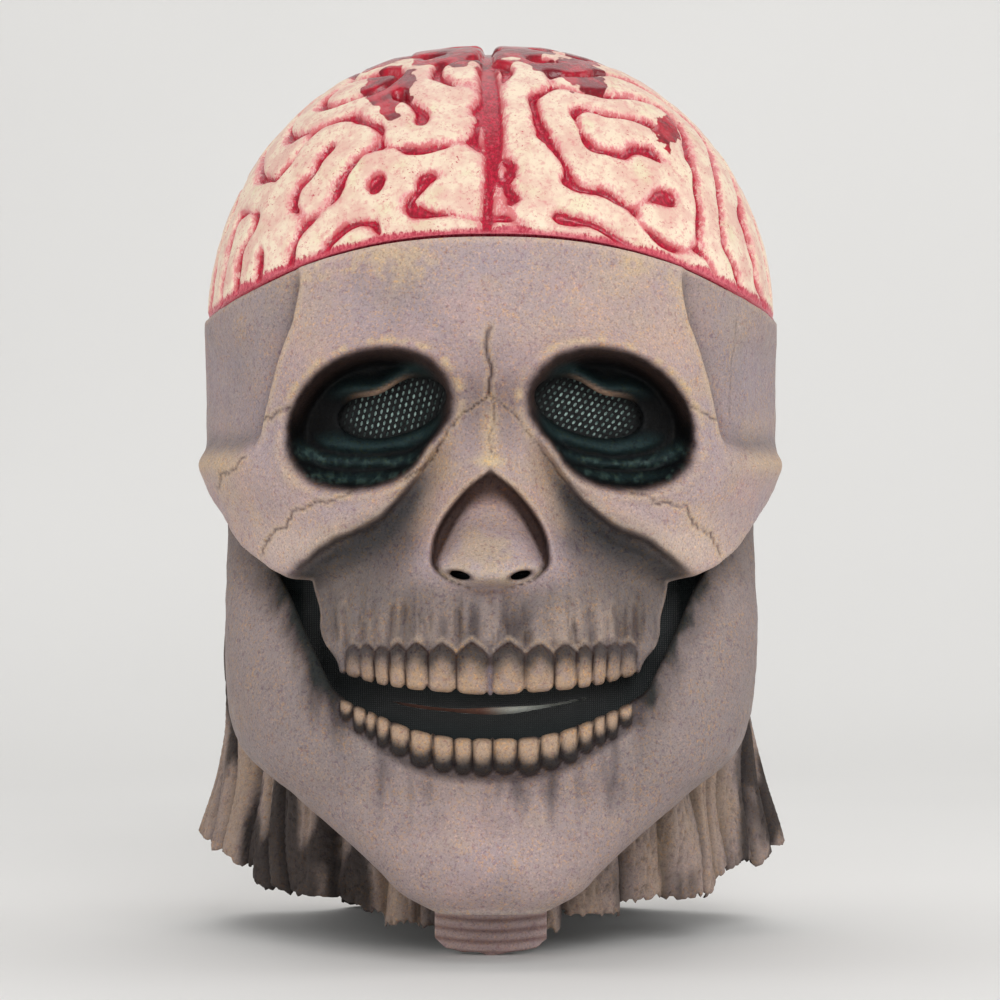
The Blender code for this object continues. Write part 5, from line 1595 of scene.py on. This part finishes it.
def build_mouth_cloth(finish, facing_finish):
    """The cloth behind the teeth, with a slit and the turned edge that shows through it."""
    coarse = coarser()
    columns, rows = int(180 / coarse), int(120 / coarse)
    x = np.broadcast_to(np.linspace(-MOUTH_HALF_WIDTH, MOUTH_HALF_WIDTH, columns), (rows, columns))
    z = np.linspace(MOUTH_LOW, MOUTH_HIGH, rows)[:, None] + 0 * x
    place = np.stack([x, 0 * x, z], axis=-1)
    wrinkle = layered_noise(place * (1, 1, 2.2), 0.013, 501) - 0.5
    pull = hump(z, slit_height(x), 0.0050) * smoothstep(0.045, 0.030, np.abs(x))
    y = mouth_depth(x, z) + 0.0016 * wrinkle - 0.0010 * pull
    outer = np.stack([x, y, z], axis=-1)
    inner = outer + (0, 0.0008, 0)
    share = np.clip(1 - (x / SLIT_HALF_WIDTH) ** 2, 0, 1)
    gap = 0.0010 * share**0.7 * (1 + 0.35 * np.sin(x * 160 + 1))
    keep = np.abs(z - slit_height(x)) - np.where(np.abs(x) < SLIT_HALF_WIDTH, gap, -0.01)
    keep = np.minimum(keep, curve_through(MOUTH_OUTLINE, z) - np.abs(x))
    near_slit = hump(z, slit_height(x), 0.0095) * smoothstep(0.058, 0.036, np.abs(x))
    cloth = sheet("mouth_cloth", outer, inner, finish, keep=keep, edge=0.0006,
                  values={"fade": 1 - 0.9 * near_slit})
    facing_x = np.broadcast_to(np.linspace(-SLIT_HALF_WIDTH, SLIT_HALF_WIDTH, 90), (7, 90))
    down = np.linspace(-0.0024, 0.0012, 7)[:, None] + 0 * facing_x
    taper = np.sqrt(np.clip(1.02 - (facing_x / SLIT_HALF_WIDTH) ** 2, 0.02, 1))
    facing_z = slit_height(facing_x) + down * taper
    facing_y = mouth_depth(facing_x, facing_z) + 0.0016 - 0.6 * down
    strip = np.stack([facing_x, facing_y, facing_z], axis=-1)
    tone = smoothstep(-0.004, 0.010, facing_x + 0.5 * down)
    paint = blended(srgb(120, 84, 72), srgb(196, 200, 192), tone)
    facing = sheet("mouth_slit_facing", strip, strip + (0, 0.0006, 0), facing_finish, paint=paint,
                   inside=srgb(120, 84, 72))
    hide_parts("mouth_liner_upper", "mouth_liner_lower")
    for piece in (cloth, facing):
        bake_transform(piece)


# Pads

PADS = ("forehead_pad", "crown_pad", "back_pad", "temple_pad_left", "temple_pad_right", "chin_cup")
PAD_SWELL_CAP = 0.0010
PAD_SHRINK = 0.0011
PAD_VOXEL = 0.0026


def node_mesh(node, name):
    """A welded copy of a CAD node's mesh, with its flat faces made whole."""
    build = bmesh.new()
    build.from_mesh(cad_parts[node].data)
    bmesh.ops.remove_doubles(build, verts=build.verts, dist=0.00002)
    bmesh.ops.dissolve_limit(build, angle_limit=math.radians(1.5), verts=build.verts,
                             edges=build.edges)
    return made_mesh(build, name)


def puffed_pad(node, name, finish):
    """A covered foam pad: the CAD block remeshed, blown up as cloth and smoothed."""
    obj = link(name, node_mesh(node, name), finish)
    box_low, box_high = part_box(node)
    remesh = obj.modifiers.new("remesh", "REMESH")
    remesh.mode = "VOXEL"
    remesh.voxel_size = PAD_VOXEL
    apply_modifiers(obj)
    soft = obj.modifiers.new("soften", "SMOOTH")
    soft.factor, soft.iterations = 0.5, 3
    apply_modifiers(obj)
    start = np.array([v.co for v in obj.data.vertices])
    normals = np.array([v.normal for v in obj.data.vertices])
    start = start - PAD_SHRINK * normals
    obj.data.vertices.foreach_set("co", start.ravel())
    obj.data.update()
    cloth = obj.modifiers.new("cloth", "CLOTH")
    cloth.settings.use_pressure = True
    cloth.settings.uniform_pressure_force = 4
    cloth.settings.effector_weights.gravity = 0
    cloth.settings.quality = 5
    scene = bpy.context.scene
    for number in range(1, 21):
        scene.frame_set(number)
    apply_modifiers(obj)
    scene.frame_set(1)
    moved = np.array([v.co for v in obj.data.vertices]) - start
    length = np.maximum(np.linalg.norm(moved, axis=1, keepdims=True), 1e-9)
    start = start + moved * np.minimum(1, PAD_SWELL_CAP / length)
    start = np.clip(start, np.array(box_low) + 0.0002, np.array(box_high) - 0.0002)
    obj.data.vertices.foreach_set("co", start.ravel())
    smooth = obj.modifiers.new("smooth", "SUBSURF")
    smooth.levels = smooth.render_levels = 1
    apply_modifiers(obj)
    obj.data.shade_smooth()
    return obj


def build_pads(finish):
    for node in PADS:
        pad = puffed_pad(node, f"{node}_covered", finish)
        fit(pad, "jaw" if node == "chin_cup" else "head", "foam", node)


# Band and elastics


def ribbon(name, path, across, thickness, finish, rib=0.0):
    """A flat strap: a rounded section swept along a path, across being its half-width vectors."""
    path, across = np.array(path, float), np.array(across, float)
    along = np.gradient(path, axis=0)
    along /= np.linalg.norm(along, axis=1, keepdims=True)
    half = np.linalg.norm(across, axis=1, keepdims=True)
    out = np.cross(along, across / half)
    shares = np.linspace(-1, 1, 21)
    edge = np.sqrt(np.clip(1 - np.abs(shares) ** 8, 0.02, 1))
    waves = 1 + rib * np.cos(shares * math.pi * 7)
    middle = np.stack([path + across * share for share in shares])
    rise = np.stack([out * thickness / 2 * e * w for e, w in zip(edge, waves)])
    return sheet(name, middle + rise, middle - rise, finish)


def build_band(finish):
    """The elastic band that runs round the back of the head from anchor to anchor."""
    low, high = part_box("head_strap")
    middle_z, half = (low.z + high.z) / 2, (high.z - low.z) / 2 - 0.0002
    thickness = 0.0016
    back_y, side_x, side_y = high.y - thickness / 2, high.x - thickness / 2, low.y
    straight = 0.040
    turns = np.radians(np.linspace(0, 90, 40))
    side = [
        (straight + (side_x - straight) * math.cos(a), side_y + (back_y - side_y) * math.sin(a),
         middle_z)
        for a in turns
    ]
    flat = [(x, back_y, middle_z) for x in np.linspace(straight, -straight, 42)[1:-1]]
    path = side + flat + [(-x, y, z) for x, y, z in reversed(side)]
    band = ribbon("fitting_band", path, [(0, 0, half)] * len(path), thickness, finish, rib=0.10)
    fit(band, "head", "elastic_webbing", "head_strap")


def build_jaw_elastic(word, side, finish):
    """The elastic that pulls one side of the jaw shut."""
    low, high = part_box(f"jaw_elastic_{word}")
    knots = [(0.0920, 0.1960), (0.0870, 0.1860), (0.0825, 0.1720), (0.0812, 0.1480),
             (0.0870, 0.1240)]
    heights = np.linspace(high.z, low.z, 48)
    x = curve_through([(z, x) for x, z in reversed(knots)], heights) - 0.0006
    y = -0.0420 + (high.z - heights) * 0.05
    path = np.stack([side * x, y, heights], axis=-1)
    strap = ribbon(f"jaw_elastic_band_{word}", path, [(0, side * 0.0044, 0)] * len(path), 0.0012,
                   finish, rib=0.12)
    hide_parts(f"jaw_elastic_{word}")
    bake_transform(strap)


# Hinge, anchors and slider

TURNED_STEPS = 56
PELLET_STEPS, PELLET_RINGS = 10, 6
STITCH_HALF = (0.00028, 0.00036, 0.00092)


def turned(name, profile, centre, side, finish):
    """A piece turned on the hinge axis from a closed profile of (distance out, radius)."""
    build = bmesh.new()
    rings = []
    for step in range(TURNED_STEPS):
        turn = step / TURNED_STEPS * 2 * math.pi
        rings.append([
            build.verts.new((side * x, centre[0] + r * math.cos(turn),
                             centre[1] + r * math.sin(turn)))
            for x, r in profile
        ])
    count = len(profile)
    for ring, after in zip(rings, rings[1:] + rings[:1]):
        for n in range(count):
            m = (n + 1) % count
            if profile[n][1] < 1e-7 and profile[m][1] < 1e-7:
                continue
            build.faces.new([ring[n], ring[m], after[m], after[n]])
    bmesh.ops.remove_doubles(build, verts=build.verts, dist=1e-6)
    bmesh.ops.recalc_face_normals(build, faces=build.faces)
    mesh = made_mesh(build, name)
    mesh.shade_smooth()
    mesh.set_sharp_from_angle(angle=math.radians(50))
    return link(name, mesh, finish)


def reach_out(low, high):
    """How far from the middle plane a box starts and ends."""
    return sorted((abs(low.x), abs(high.x)))


def build_hinge(word, side, plastic, steel):
    """One jaw pivot: a glued washer with a boss, a stud through it and a clip on the stud."""
    low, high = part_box(f"hinge_plate_{word}")
    centre = ((low.y + high.y) / 2, (low.z + high.z) / 2)
    radius = (high.y - low.y) / 2
    inner_x, outer_x = reach_out(low, high)
    plate_x = outer_x - 0.0022
    bore, boss, soft = 0.0034, 0.0080, 0.0005
    plate = turned(f"hinge_washer_{word}", [
        (inner_x, bore), (inner_x, boss - soft), (inner_x + soft, boss), (plate_x - soft, boss),
        (plate_x, boss + soft), (plate_x, radius - soft), (plate_x + soft, radius),
        (outer_x - 2 * soft, radius), (outer_x - soft, radius - soft),
        (outer_x - soft, radius - 0.0022), (outer_x - 0.0011, radius - 0.0030),
        (outer_x - 0.0011, boss + 0.0012), (outer_x - soft, boss + 0.0004),
        (outer_x, boss - 0.0006), (outer_x, bore + soft), (outer_x - soft, bore),
    ], centre, side, plastic)
    low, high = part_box(f"hinge_rivet_{word}")
    end_x, head_x = reach_out(low, high)
    head_radius = (high.y - low.y) / 2
    arc = [
        (head_x - 0.0014 + 0.0014 * math.cos(a), head_radius * math.sin(a))
        for a in np.radians(np.linspace(90, 0, 10))
    ]
    rivet = turned(f"hinge_stud_{word}", [
        (end_x, 0.0), (end_x, 0.0024), (end_x + 0.0006, 0.0030), (head_x - 0.0014, 0.0030), *arc,
    ], centre, side, steel)
    low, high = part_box(f"hinge_cap_{word}")
    near, far = reach_out(low, high)
    cap_radius = (high.y - low.y) / 2
    cap = turned(f"hinge_clip_{word}", [
        (near, bore + soft), (near, 0.0052), (near + 0.0008, 0.0060),
        (near + 0.0008, cap_radius - soft),
        (near + 0.0008 + soft, cap_radius), (far - soft, cap_radius), (far, cap_radius - soft),
        (far, bore + soft), (far - soft, bore), (near + soft, bore),
    ], centre, side, plastic)
    fit(plate, "head", "hinge_plastic", f"hinge_plate_{word}")
    fit(rivet, "head", "rivet_steel", f"hinge_rivet_{word}")
    fit(cap, "head", "hinge_plastic", f"hinge_cap_{word}")


def rounded_copy(node, name, width, finish, body, slot):
    """The CAD piece with its edges rounded off as moulding leaves them."""
    obj = link(name, node_mesh(node, name), finish)
    bevel = obj.modifiers.new("edges", "BEVEL")
    bevel.width, bevel.segments = width, 3
    bevel.limit_method = "ANGLE"
    bevel.angle_limit = math.radians(35)
    apply_modifiers(obj)
    obj.data.shade_smooth()
    obj.data.set_sharp_from_angle(angle=math.radians(45))
    fit(obj, body, slot, node)


def add_pellet(build, centre, half):
    """Adds a small ellipsoid to a mesh being built."""
    def point(turn, tilt):
        way = (math.sin(turn) * math.sin(tilt), math.cos(turn) * math.sin(tilt), math.cos(tilt))
        return build.verts.new([c + h * w for c, h, w in zip(centre, half, way)])

    top, bottom = point(0, 0), point(0, math.pi)
    rings = [
        [point(step / PELLET_STEPS * 2 * math.pi, ring / PELLET_RINGS * math.pi)
         for step in range(PELLET_STEPS)]
        for ring in range(1, PELLET_RINGS)
    ]
    for step in range(PELLET_STEPS):
        after = (step + 1) % PELLET_STEPS
        build.faces.new([top, rings[0][after], rings[0][step]])
        build.faces.new([bottom, rings[-1][step], rings[-1][after]])
        for upper, lower in zip(rings, rings[1:]):
            build.faces.new([upper[step], upper[after], lower[after], lower[step]])


def build_anchor_stitches(word, side, finish):
    """Rows of thread that hold the band to its anchor."""
    low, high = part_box(f"strap_anchor_{word}")
    face_x = reach_out(low, high)[0] - 0.0012
    build = bmesh.new()
    for y in (low.y + 0.0105, low.y + 0.0140):
        for step in range(7):
            z = (low.z + high.z) / 2 + (step - 3) * 0.0024
            add_pellet(build, (side * (face_x - 0.0013), y, z), STITCH_HALF)
    mesh = made_mesh(build, f"anchor_stitches_{word}")
    mesh.shade_smooth()
    stitches = link(f"anchor_stitches_{word}", mesh, finish)
    fit(stitches, "head", "elastic_webbing")


def build_hardware(plastic, steel, webbing, thread):
    build_band(webbing)
    rounded_copy("strap_slider", "band_slider", 0.0005, plastic, "slider", "hinge_plastic")
    for word, side in (("left", 1), ("right", -1)):
        build_hinge(word, side, plastic, steel)
        rounded_copy(f"ramus_plate_{word}", f"jaw_ear_{word}", 0.0005, plastic, "jaw",
                     "hinge_plastic")
        rounded_copy(f"strap_anchor_{word}", f"band_anchor_{word}", 0.0006, plastic, "head",
                     "hinge_plastic")
        build_anchor_stitches(word, side, thread)
        build_jaw_elastic(word, side, webbing)


# Materials


class Nodes:
    """A short way to write a material's node tree."""

    def __init__(self, name):
        self.material = bpy.data.materials.new(name)
        self.material.use_nodes = True
        self.tree = self.material.node_tree
        self.shader = self.tree.nodes["Principled BSDF"]

    def add(self, kind, **settings):
        node = self.tree.nodes.new(kind)
        for key, value in settings.items():
            setattr(node, key, value)
        return node

    def plug(self, target, value):
        if isinstance(value, bpy.types.NodeSocket):
            self.tree.links.new(value, target)
        else:
            target.default_value = value

    def feed(self, node, **inputs):
        """Plugs sockets or plain values into a node's inputs, named with _ for each space."""
        for key, value in inputs.items():
            self.plug(node.inputs[key.replace("_", " ")], value)

    def place(self, stretch=(1, 1, 1)):
        coords = self.add("ShaderNodeTexCoord").outputs["Object"]
        mapping = self.add("ShaderNodeMapping")
        self.feed(mapping, Vector=coords, Scale=stretch)
        return mapping.outputs["Vector"]

    def noise(self, size, detail=3.0, stretch=(1, 1, 1), roughness=0.55, warp=0.0):
        node = self.add("ShaderNodeTexNoise")
        self.feed(node, Vector=self.place(stretch), Scale=1 / size, Detail=detail,
                  Roughness=roughness, Distortion=warp)
        return node.outputs["Fac"]

    def ramp(self, value, start, end, low=0.0, high=1.0):
        node = self.add("ShaderNodeMapRange", interpolation_type="SMOOTHSTEP")
        self.feed(node, Value=value, From_Min=start, From_Max=end, To_Min=low, To_Max=high)
        return node.outputs["Result"]

    def maths(self, operation, first, second=0.0):
        node = self.add("ShaderNodeMath", operation=operation)
        self.plug(node.inputs[0], first)
        self.plug(node.inputs[1], second)
        return node.outputs[0]

    def mix(self, amount, first, second, blend="MIX"):
        node = self.add("ShaderNodeMix", data_type="RGBA", blend_type=blend)
        self.plug(node.inputs["Factor"], amount)
        for socket, value in ((node.inputs[6], first), (node.inputs[7], second)):
            self.plug(socket, value if isinstance(value, bpy.types.NodeSocket) else (*value, 1.0))
        return node.outputs[2]

    def attribute(self, name, output="Fac"):
        return self.add("ShaderNodeAttribute", attribute_name=name).outputs[output]

    def bump(self, height, distance, strength=1.0, after=None):
        node = self.add("ShaderNodeBump")
        self.feed(node, Height=height, Distance=distance, Strength=strength)
        if after is not None:
            self.plug(node.inputs["Normal"], after)
        return node.outputs["Normal"]

    def finish(self, colour, roughness, **inputs):
        self.feed(self.shader, Base_Color=colour, Roughness=roughness, **inputs)
        return self.material


def painted_latex(name, speckle=1.0, roughness=0.56):
    """Dry-brushed latex: painted colour under fine ochre, mauve and dark speckle."""
    n = Nodes(name)
    paint = n.attribute("paint", "Color")
    fleck = n.noise(0.0012, detail=4, roughness=0.75)
    patches = n.noise(0.012, detail=3)
    amount = n.maths("MULTIPLY", n.ramp(fleck, 0.50, 0.64, 0, 1.0 * speckle),
                     n.ramp(patches, 0.35, 0.65, 0.35, 1.0))
    colour = n.mix(amount, paint, srgb(230, 200, 152), "SOFT_LIGHT")
    mauve = n.noise(0.0019, detail=4, roughness=0.7, warp=0.5)
    colour = n.mix(n.ramp(mauve, 0.52, 0.68, 0, 0.62 * speckle), colour, srgb(112, 92, 126),
                   "SOFT_LIGHT")
    dark = n.noise(0.0008, detail=4, roughness=0.75)
    colour = n.mix(n.ramp(dark, 0.50, 0.36, 0, 0.34 * speckle), colour, srgb(70, 58, 60),
                   "MULTIPLY")
    light = n.noise(0.0009, detail=2)
    colour = n.mix(n.ramp(light, 0.56, 0.68, 0, 0.40 * speckle), colour, srgb(236, 224, 214),
                   "OVERLAY")
    shine = n.ramp(n.noise(0.008, detail=4), 0.3, 0.7, roughness - 0.09, roughness + 0.13)
    coarse = n.bump(n.noise(0.0032, detail=4, roughness=0.6), 0.0007, 0.5)
    normal = n.bump(n.noise(0.0008, detail=3, roughness=0.7), 0.00022, 0.55, coarse)
    return n.finish(colour, shine, Normal=normal,
                    Specular_IOR_Level=n.ramp(paint, 0.01, 0.14, 0.10, 0.40))


def brain_paint():
    """Cream folds that redden into the furrows, with a red band at the rim and wet blood."""
    n = Nodes("brain_latex_painted")
    furrow = n.attribute("furrow")
    band = n.attribute("band")
    blood = n.attribute("blood")
    brush = n.noise(0.0011, detail=4, roughness=0.75, stretch=(1, 1, 0.45))
    patchy = n.noise(0.006, detail=3)
    rough_edge = n.maths("ADD", furrow, n.ramp(brush, 0.3, 0.7, -0.20, 0.20))
    rough_edge = n.maths("ADD", rough_edge, n.ramp(patchy, 0.3, 0.7, -0.14, 0.14))
    blotch = n.noise(0.011, detail=4, roughness=0.65)
    cream = n.mix(n.ramp(blotch, 0.40, 0.62), srgb(242, 222, 196), srgb(230, 190, 172))
    green = n.noise(0.017, detail=2)
    cream = n.mix(n.ramp(green, 0.56, 0.70, 0, 0.35), cream, srgb(226, 224, 178))
    pink = n.mix(n.ramp(brush, 0.35, 0.65), srgb(222, 130, 128), srgb(196, 84, 92))
    colour = n.mix(n.ramp(rough_edge, 0.62, 0.22), cream, srgb(232, 158, 158))
    colour = n.mix(n.ramp(rough_edge, 0.36, 0.16), colour, pink)
    mottle = n.noise(0.0022, detail=4, roughness=0.7)
    colour = n.mix(n.ramp(mottle, 0.50, 0.68, 0, 0.50), colour, srgb(214, 110, 118))
    stipple = n.noise(0.0010, detail=3, roughness=0.7)
    dots = n.maths("MULTIPLY", n.ramp(stipple, 0.58, 0.68), n.ramp(patchy, 0.40, 0.62, 0.12, 0.95))
    colour = n.mix(dots, colour, srgb(190, 52, 76))
    crimson = n.mix(n.ramp(brush, 0.35, 0.6), srgb(206, 26, 62), srgb(150, 14, 40))
    line = n.maths("ADD", furrow, n.ramp(brush, 0.3, 0.7, -0.07, 0.07))
    colour = n.mix(n.ramp(line, 0.20, 0.09), colour, crimson)
    ring = n.mix(n.ramp(brush, 0.40, 0.62), srgb(214, 92, 106), srgb(176, 34, 62))
    edge = n.maths("ADD", band, n.ramp(brush, 0.3, 0.7, -0.30, 0.30))
    colour = n.mix(n.ramp(edge, 0.36, 0.72), colour, ring)
    maroon = n.mix(n.ramp(blotch, 0.4, 0.6), srgb(186, 16, 44), srgb(120, 8, 28))
    pool = n.maths("ADD", blood, n.ramp(patchy, 0.3, 0.7, -0.2, 0.2))
    colour = n.mix(n.ramp(pool, 0.35, 0.60), colour, maroon)
    paint = n.attribute("paint", "Color")
    colour = n.mix(n.ramp(paint, 0.08, 0.25), paint, colour)
    wet = n.maths("MINIMUM", n.ramp(furrow, 0.05, 0.40, 0.20, 0.48),
                  n.ramp(blood, 0.3, 0.8, 1.0, 0.18))
    coarse = n.bump(n.noise(0.0040, detail=3), 0.0008, 0.5)
    normal = n.bump(n.noise(0.0009, detail=3, roughness=0.7), 0.0002, 0.5, coarse)
    return n.finish(colour, wet, Normal=normal, Specular_IOR_Level=0.45, Coat_Weight=0.12,
                    Coat_Roughness=0.25)


def simple_finish(name, colour, other, roughness, size=0.002, height=0.00015, metallic=0.0,
                  fade=None):
    """A moulded or cast surface: two close colours, uneven shine and a fine grain."""
    n = Nodes(name)
    mixed = n.mix(n.ramp(n.noise(size, detail=4), 0.35, 0.65), colour, other)
    wear_and_painted_light = n.mix(n.ramp(n.noise(size * 6, detail=3), 0.55, 0.75, 0, 0.4), mixed, other)
    if fade:
        wear_and_painted_light = n.mix(n.attribute(fade), srgb(12, 14, 15), wear_and_painted_light)
    shine = n.ramp(n.noise(size * 2.5, detail=3), 0.3, 0.7, roughness - 0.08, roughness + 0.1)
    normal = n.bump(n.noise(size / 2, detail=3), height, 0.6)
    return n.finish(wear_and_painted_light, shine, Normal=normal, Metallic=metallic)


def woven_finish(name, colour, other, pitch, roughness=0.85, fade=None):
    """Cloth: two crossing sets of fine ribs."""
    n = Nodes(name)
    ribs = []
    for axis in "ZX":
        wave = n.add("ShaderNodeTexWave", wave_type="BANDS", bands_direction=axis)
        n.feed(wave, Vector=n.place(), Scale=1 / pitch / 3.2, Distortion=0.6, Detail=1.0)
        ribs.append(wave.outputs["Fac"])
    weave = n.maths("MULTIPLY", ribs[0], ribs[1])
    fuzz = n.noise(pitch * 5, detail=4)
    mixed = n.mix(n.ramp(weave, 0.1, 0.8), colour, other)
    mixed = n.mix(n.ramp(fuzz, 0.4, 0.7, 0, 0.5), mixed, colour)
    if fade:
        mixed = n.mix(n.attribute(fade), srgb(7, 9, 9), mixed)
    normal = n.bump(weave, 0.0003, 0.8)
    return n.finish(mixed, roughness, Normal=normal, Sheen_Weight=0.25)


# The stage

PAPER_FRONT_Y, PAPER_BACK_Y, PAPER_HEIGHT, PAPER_HALF_WIDTH = -6.0, 1.6, 3.2, 5.0
PAPER_BEND, PAPER_BEND_STEPS = 0.7, 14
# Each light: name, place, width and height, power
LIGHTS = (
    ("key_softbox", (0.45, -1.9, 1.15), (1.1, 1.1), 20),
    ("front_fill", (-0.75, -2.1, 0.35), (1.4, 1.4), 8),
    ("left_edge", (-1.7, -0.1, 0.7), (0.9, 1.4), 6),
    ("right_edge", (1.7, 0.0, 0.6), (0.9, 1.4), 8),
    ("top_soft", (0, 0.5, 1.9), (1.6, 1.6), 8),
)
LIGHTS_AIM = (0, 0, 0.17)
WORLD_STRENGTH = 0.42
# The photograph's view: level, square to the face and 1.4 m away
CAMERA_PLACE = (0.0034, -1.400, 0.166)
CAMERA_LENS, CAMERA_SENSOR = 132.6, 36.0


def build_stage():
    """White paper that bends up behind the mask and can't be seen from behind or below."""
    mesh = bpy.data.meshes.new("floor")
    bend_y = PAPER_BACK_Y - PAPER_BEND
    profile = [(PAPER_FRONT_Y, 0.0), (bend_y, 0.0)]
    for step in range(1, PAPER_BEND_STEPS + 1):
        turn = step / PAPER_BEND_STEPS * math.pi / 2
        profile.append((bend_y + PAPER_BEND * math.sin(turn),
                        PAPER_BEND - PAPER_BEND * math.cos(turn)))
    profile.append((PAPER_BACK_Y, PAPER_HEIGHT))
    verts = [(x, y, z) for y, z in profile for x in (-PAPER_HALF_WIDTH, PAPER_HALF_WIDTH)]
    faces = [(2 * n, 2 * n + 1, 2 * n + 3, 2 * n + 2) for n in range(len(profile) - 1)]
    mesh.from_pydata(verts, [], faces)
    mesh.shade_smooth()
    n = Nodes("floor_paper")
    tone = n.mix(n.ramp(n.noise(0.6, detail=2), 0.3, 0.7), srgb(236, 235, 233), srgb(232, 231, 229))
    n.finish(tone, 0.9)
    see_through = n.add("ShaderNodeMixShader")
    n.plug(see_through.inputs[0], n.add("ShaderNodeNewGeometry").outputs["Backfacing"])
    n.plug(see_through.inputs[1], n.shader.outputs["BSDF"])
    n.plug(see_through.inputs[2], n.add("ShaderNodeBsdfTransparent").outputs["BSDF"])
    n.plug(n.tree.nodes["Material Output"].inputs["Surface"], see_through.outputs["Shader"])
    link("floor", mesh, n.material)


def build_lights():
    for name, place, size, power in LIGHTS:
        data = bpy.data.lights.new(name, "AREA")
        data.shape = "RECTANGLE"
        data.size, data.size_y = size
        data.energy = power
        obj = bpy.data.objects.new(name, data)
        bpy.context.scene.collection.objects.link(obj)
        obj.location = place
        way = Vector(LIGHTS_AIM) - Vector(place)
        obj.rotation_euler = way.to_track_quat("-Z", "Y").to_euler()
        obj.visible_camera = False
    world = bpy.data.worlds.new("studio")
    world.use_nodes = True
    background = world.node_tree.nodes["Background"]
    background.inputs["Color"].default_value = (1, 1, 1, 1)
    background.inputs["Strength"].default_value = WORLD_STRENGTH
    bpy.context.scene.world = world


def build_camera():
    data = bpy.data.cameras.new("camera")
    data.sensor_width, data.lens = CAMERA_SENSOR, CAMERA_LENS
    camera = bpy.data.objects.new("camera", data)
    bpy.context.scene.collection.objects.link(camera)
    camera.location = CAMERA_PLACE
    camera.rotation_euler = (math.pi / 2, 0, 0)
    data.clip_start, data.clip_end = 0.05, 20
    bpy.context.scene.camera = camera


def main():
    skull_latex = painted_latex("skull_latex_painted")
    neck_latex = painted_latex("neck_latex_painted", speckle=0.8, roughness=0.62)
    build_skull(skull_latex)
    build_brain(brain_paint())
    build_jaw(skull_latex)
    build_sleeve(neck_latex)
    build_throat(neck_latex)
    net = simple_finish("net_black", srgb(9, 10, 11), srgb(17, 21, 22), 0.80, size=0.0007)
    scrim = simple_finish("scrim_pale", srgb(196, 226, 218), srgb(70, 96, 92), 0.7, size=0.0022,
                          fade="fade")
    cloth = woven_finish("mouth_cloth_black", srgb(17, 28, 29), srgb(24, 38, 39), 0.0007,
                         fade="fade")
    foam = woven_finish("pad_cover", srgb(30, 31, 34), srgb(58, 60, 64), 0.0009)
    webbing = woven_finish("elastic_weave", srgb(22, 22, 24), srgb(52, 52, 56), 0.0010)
    thread = simple_finish("thread", srgb(150, 146, 140), srgb(120, 116, 112), 0.7, size=0.0005)
    plastic = simple_finish("moulded_plastic", srgb(38, 38, 41), srgb(52, 52, 55), 0.42)
    steel = simple_finish("brushed_steel", srgb(190, 190, 192), srgb(150, 150, 154), 0.30,
                          metallic=1.0)
    build_mouth_cloth(cloth, painted_latex("slit_facing", speckle=0.4))
    build_pads(foam)
    build_hardware(plastic, steel, webbing, thread)
    for word, side in (("left", 1), ("right", -1)):
        build_eye_net(word, side, net, scrim)
    build_stage()
    build_lights()
    build_camera()
    bpy.context.scene.view_settings.view_transform = "Standard"


main()
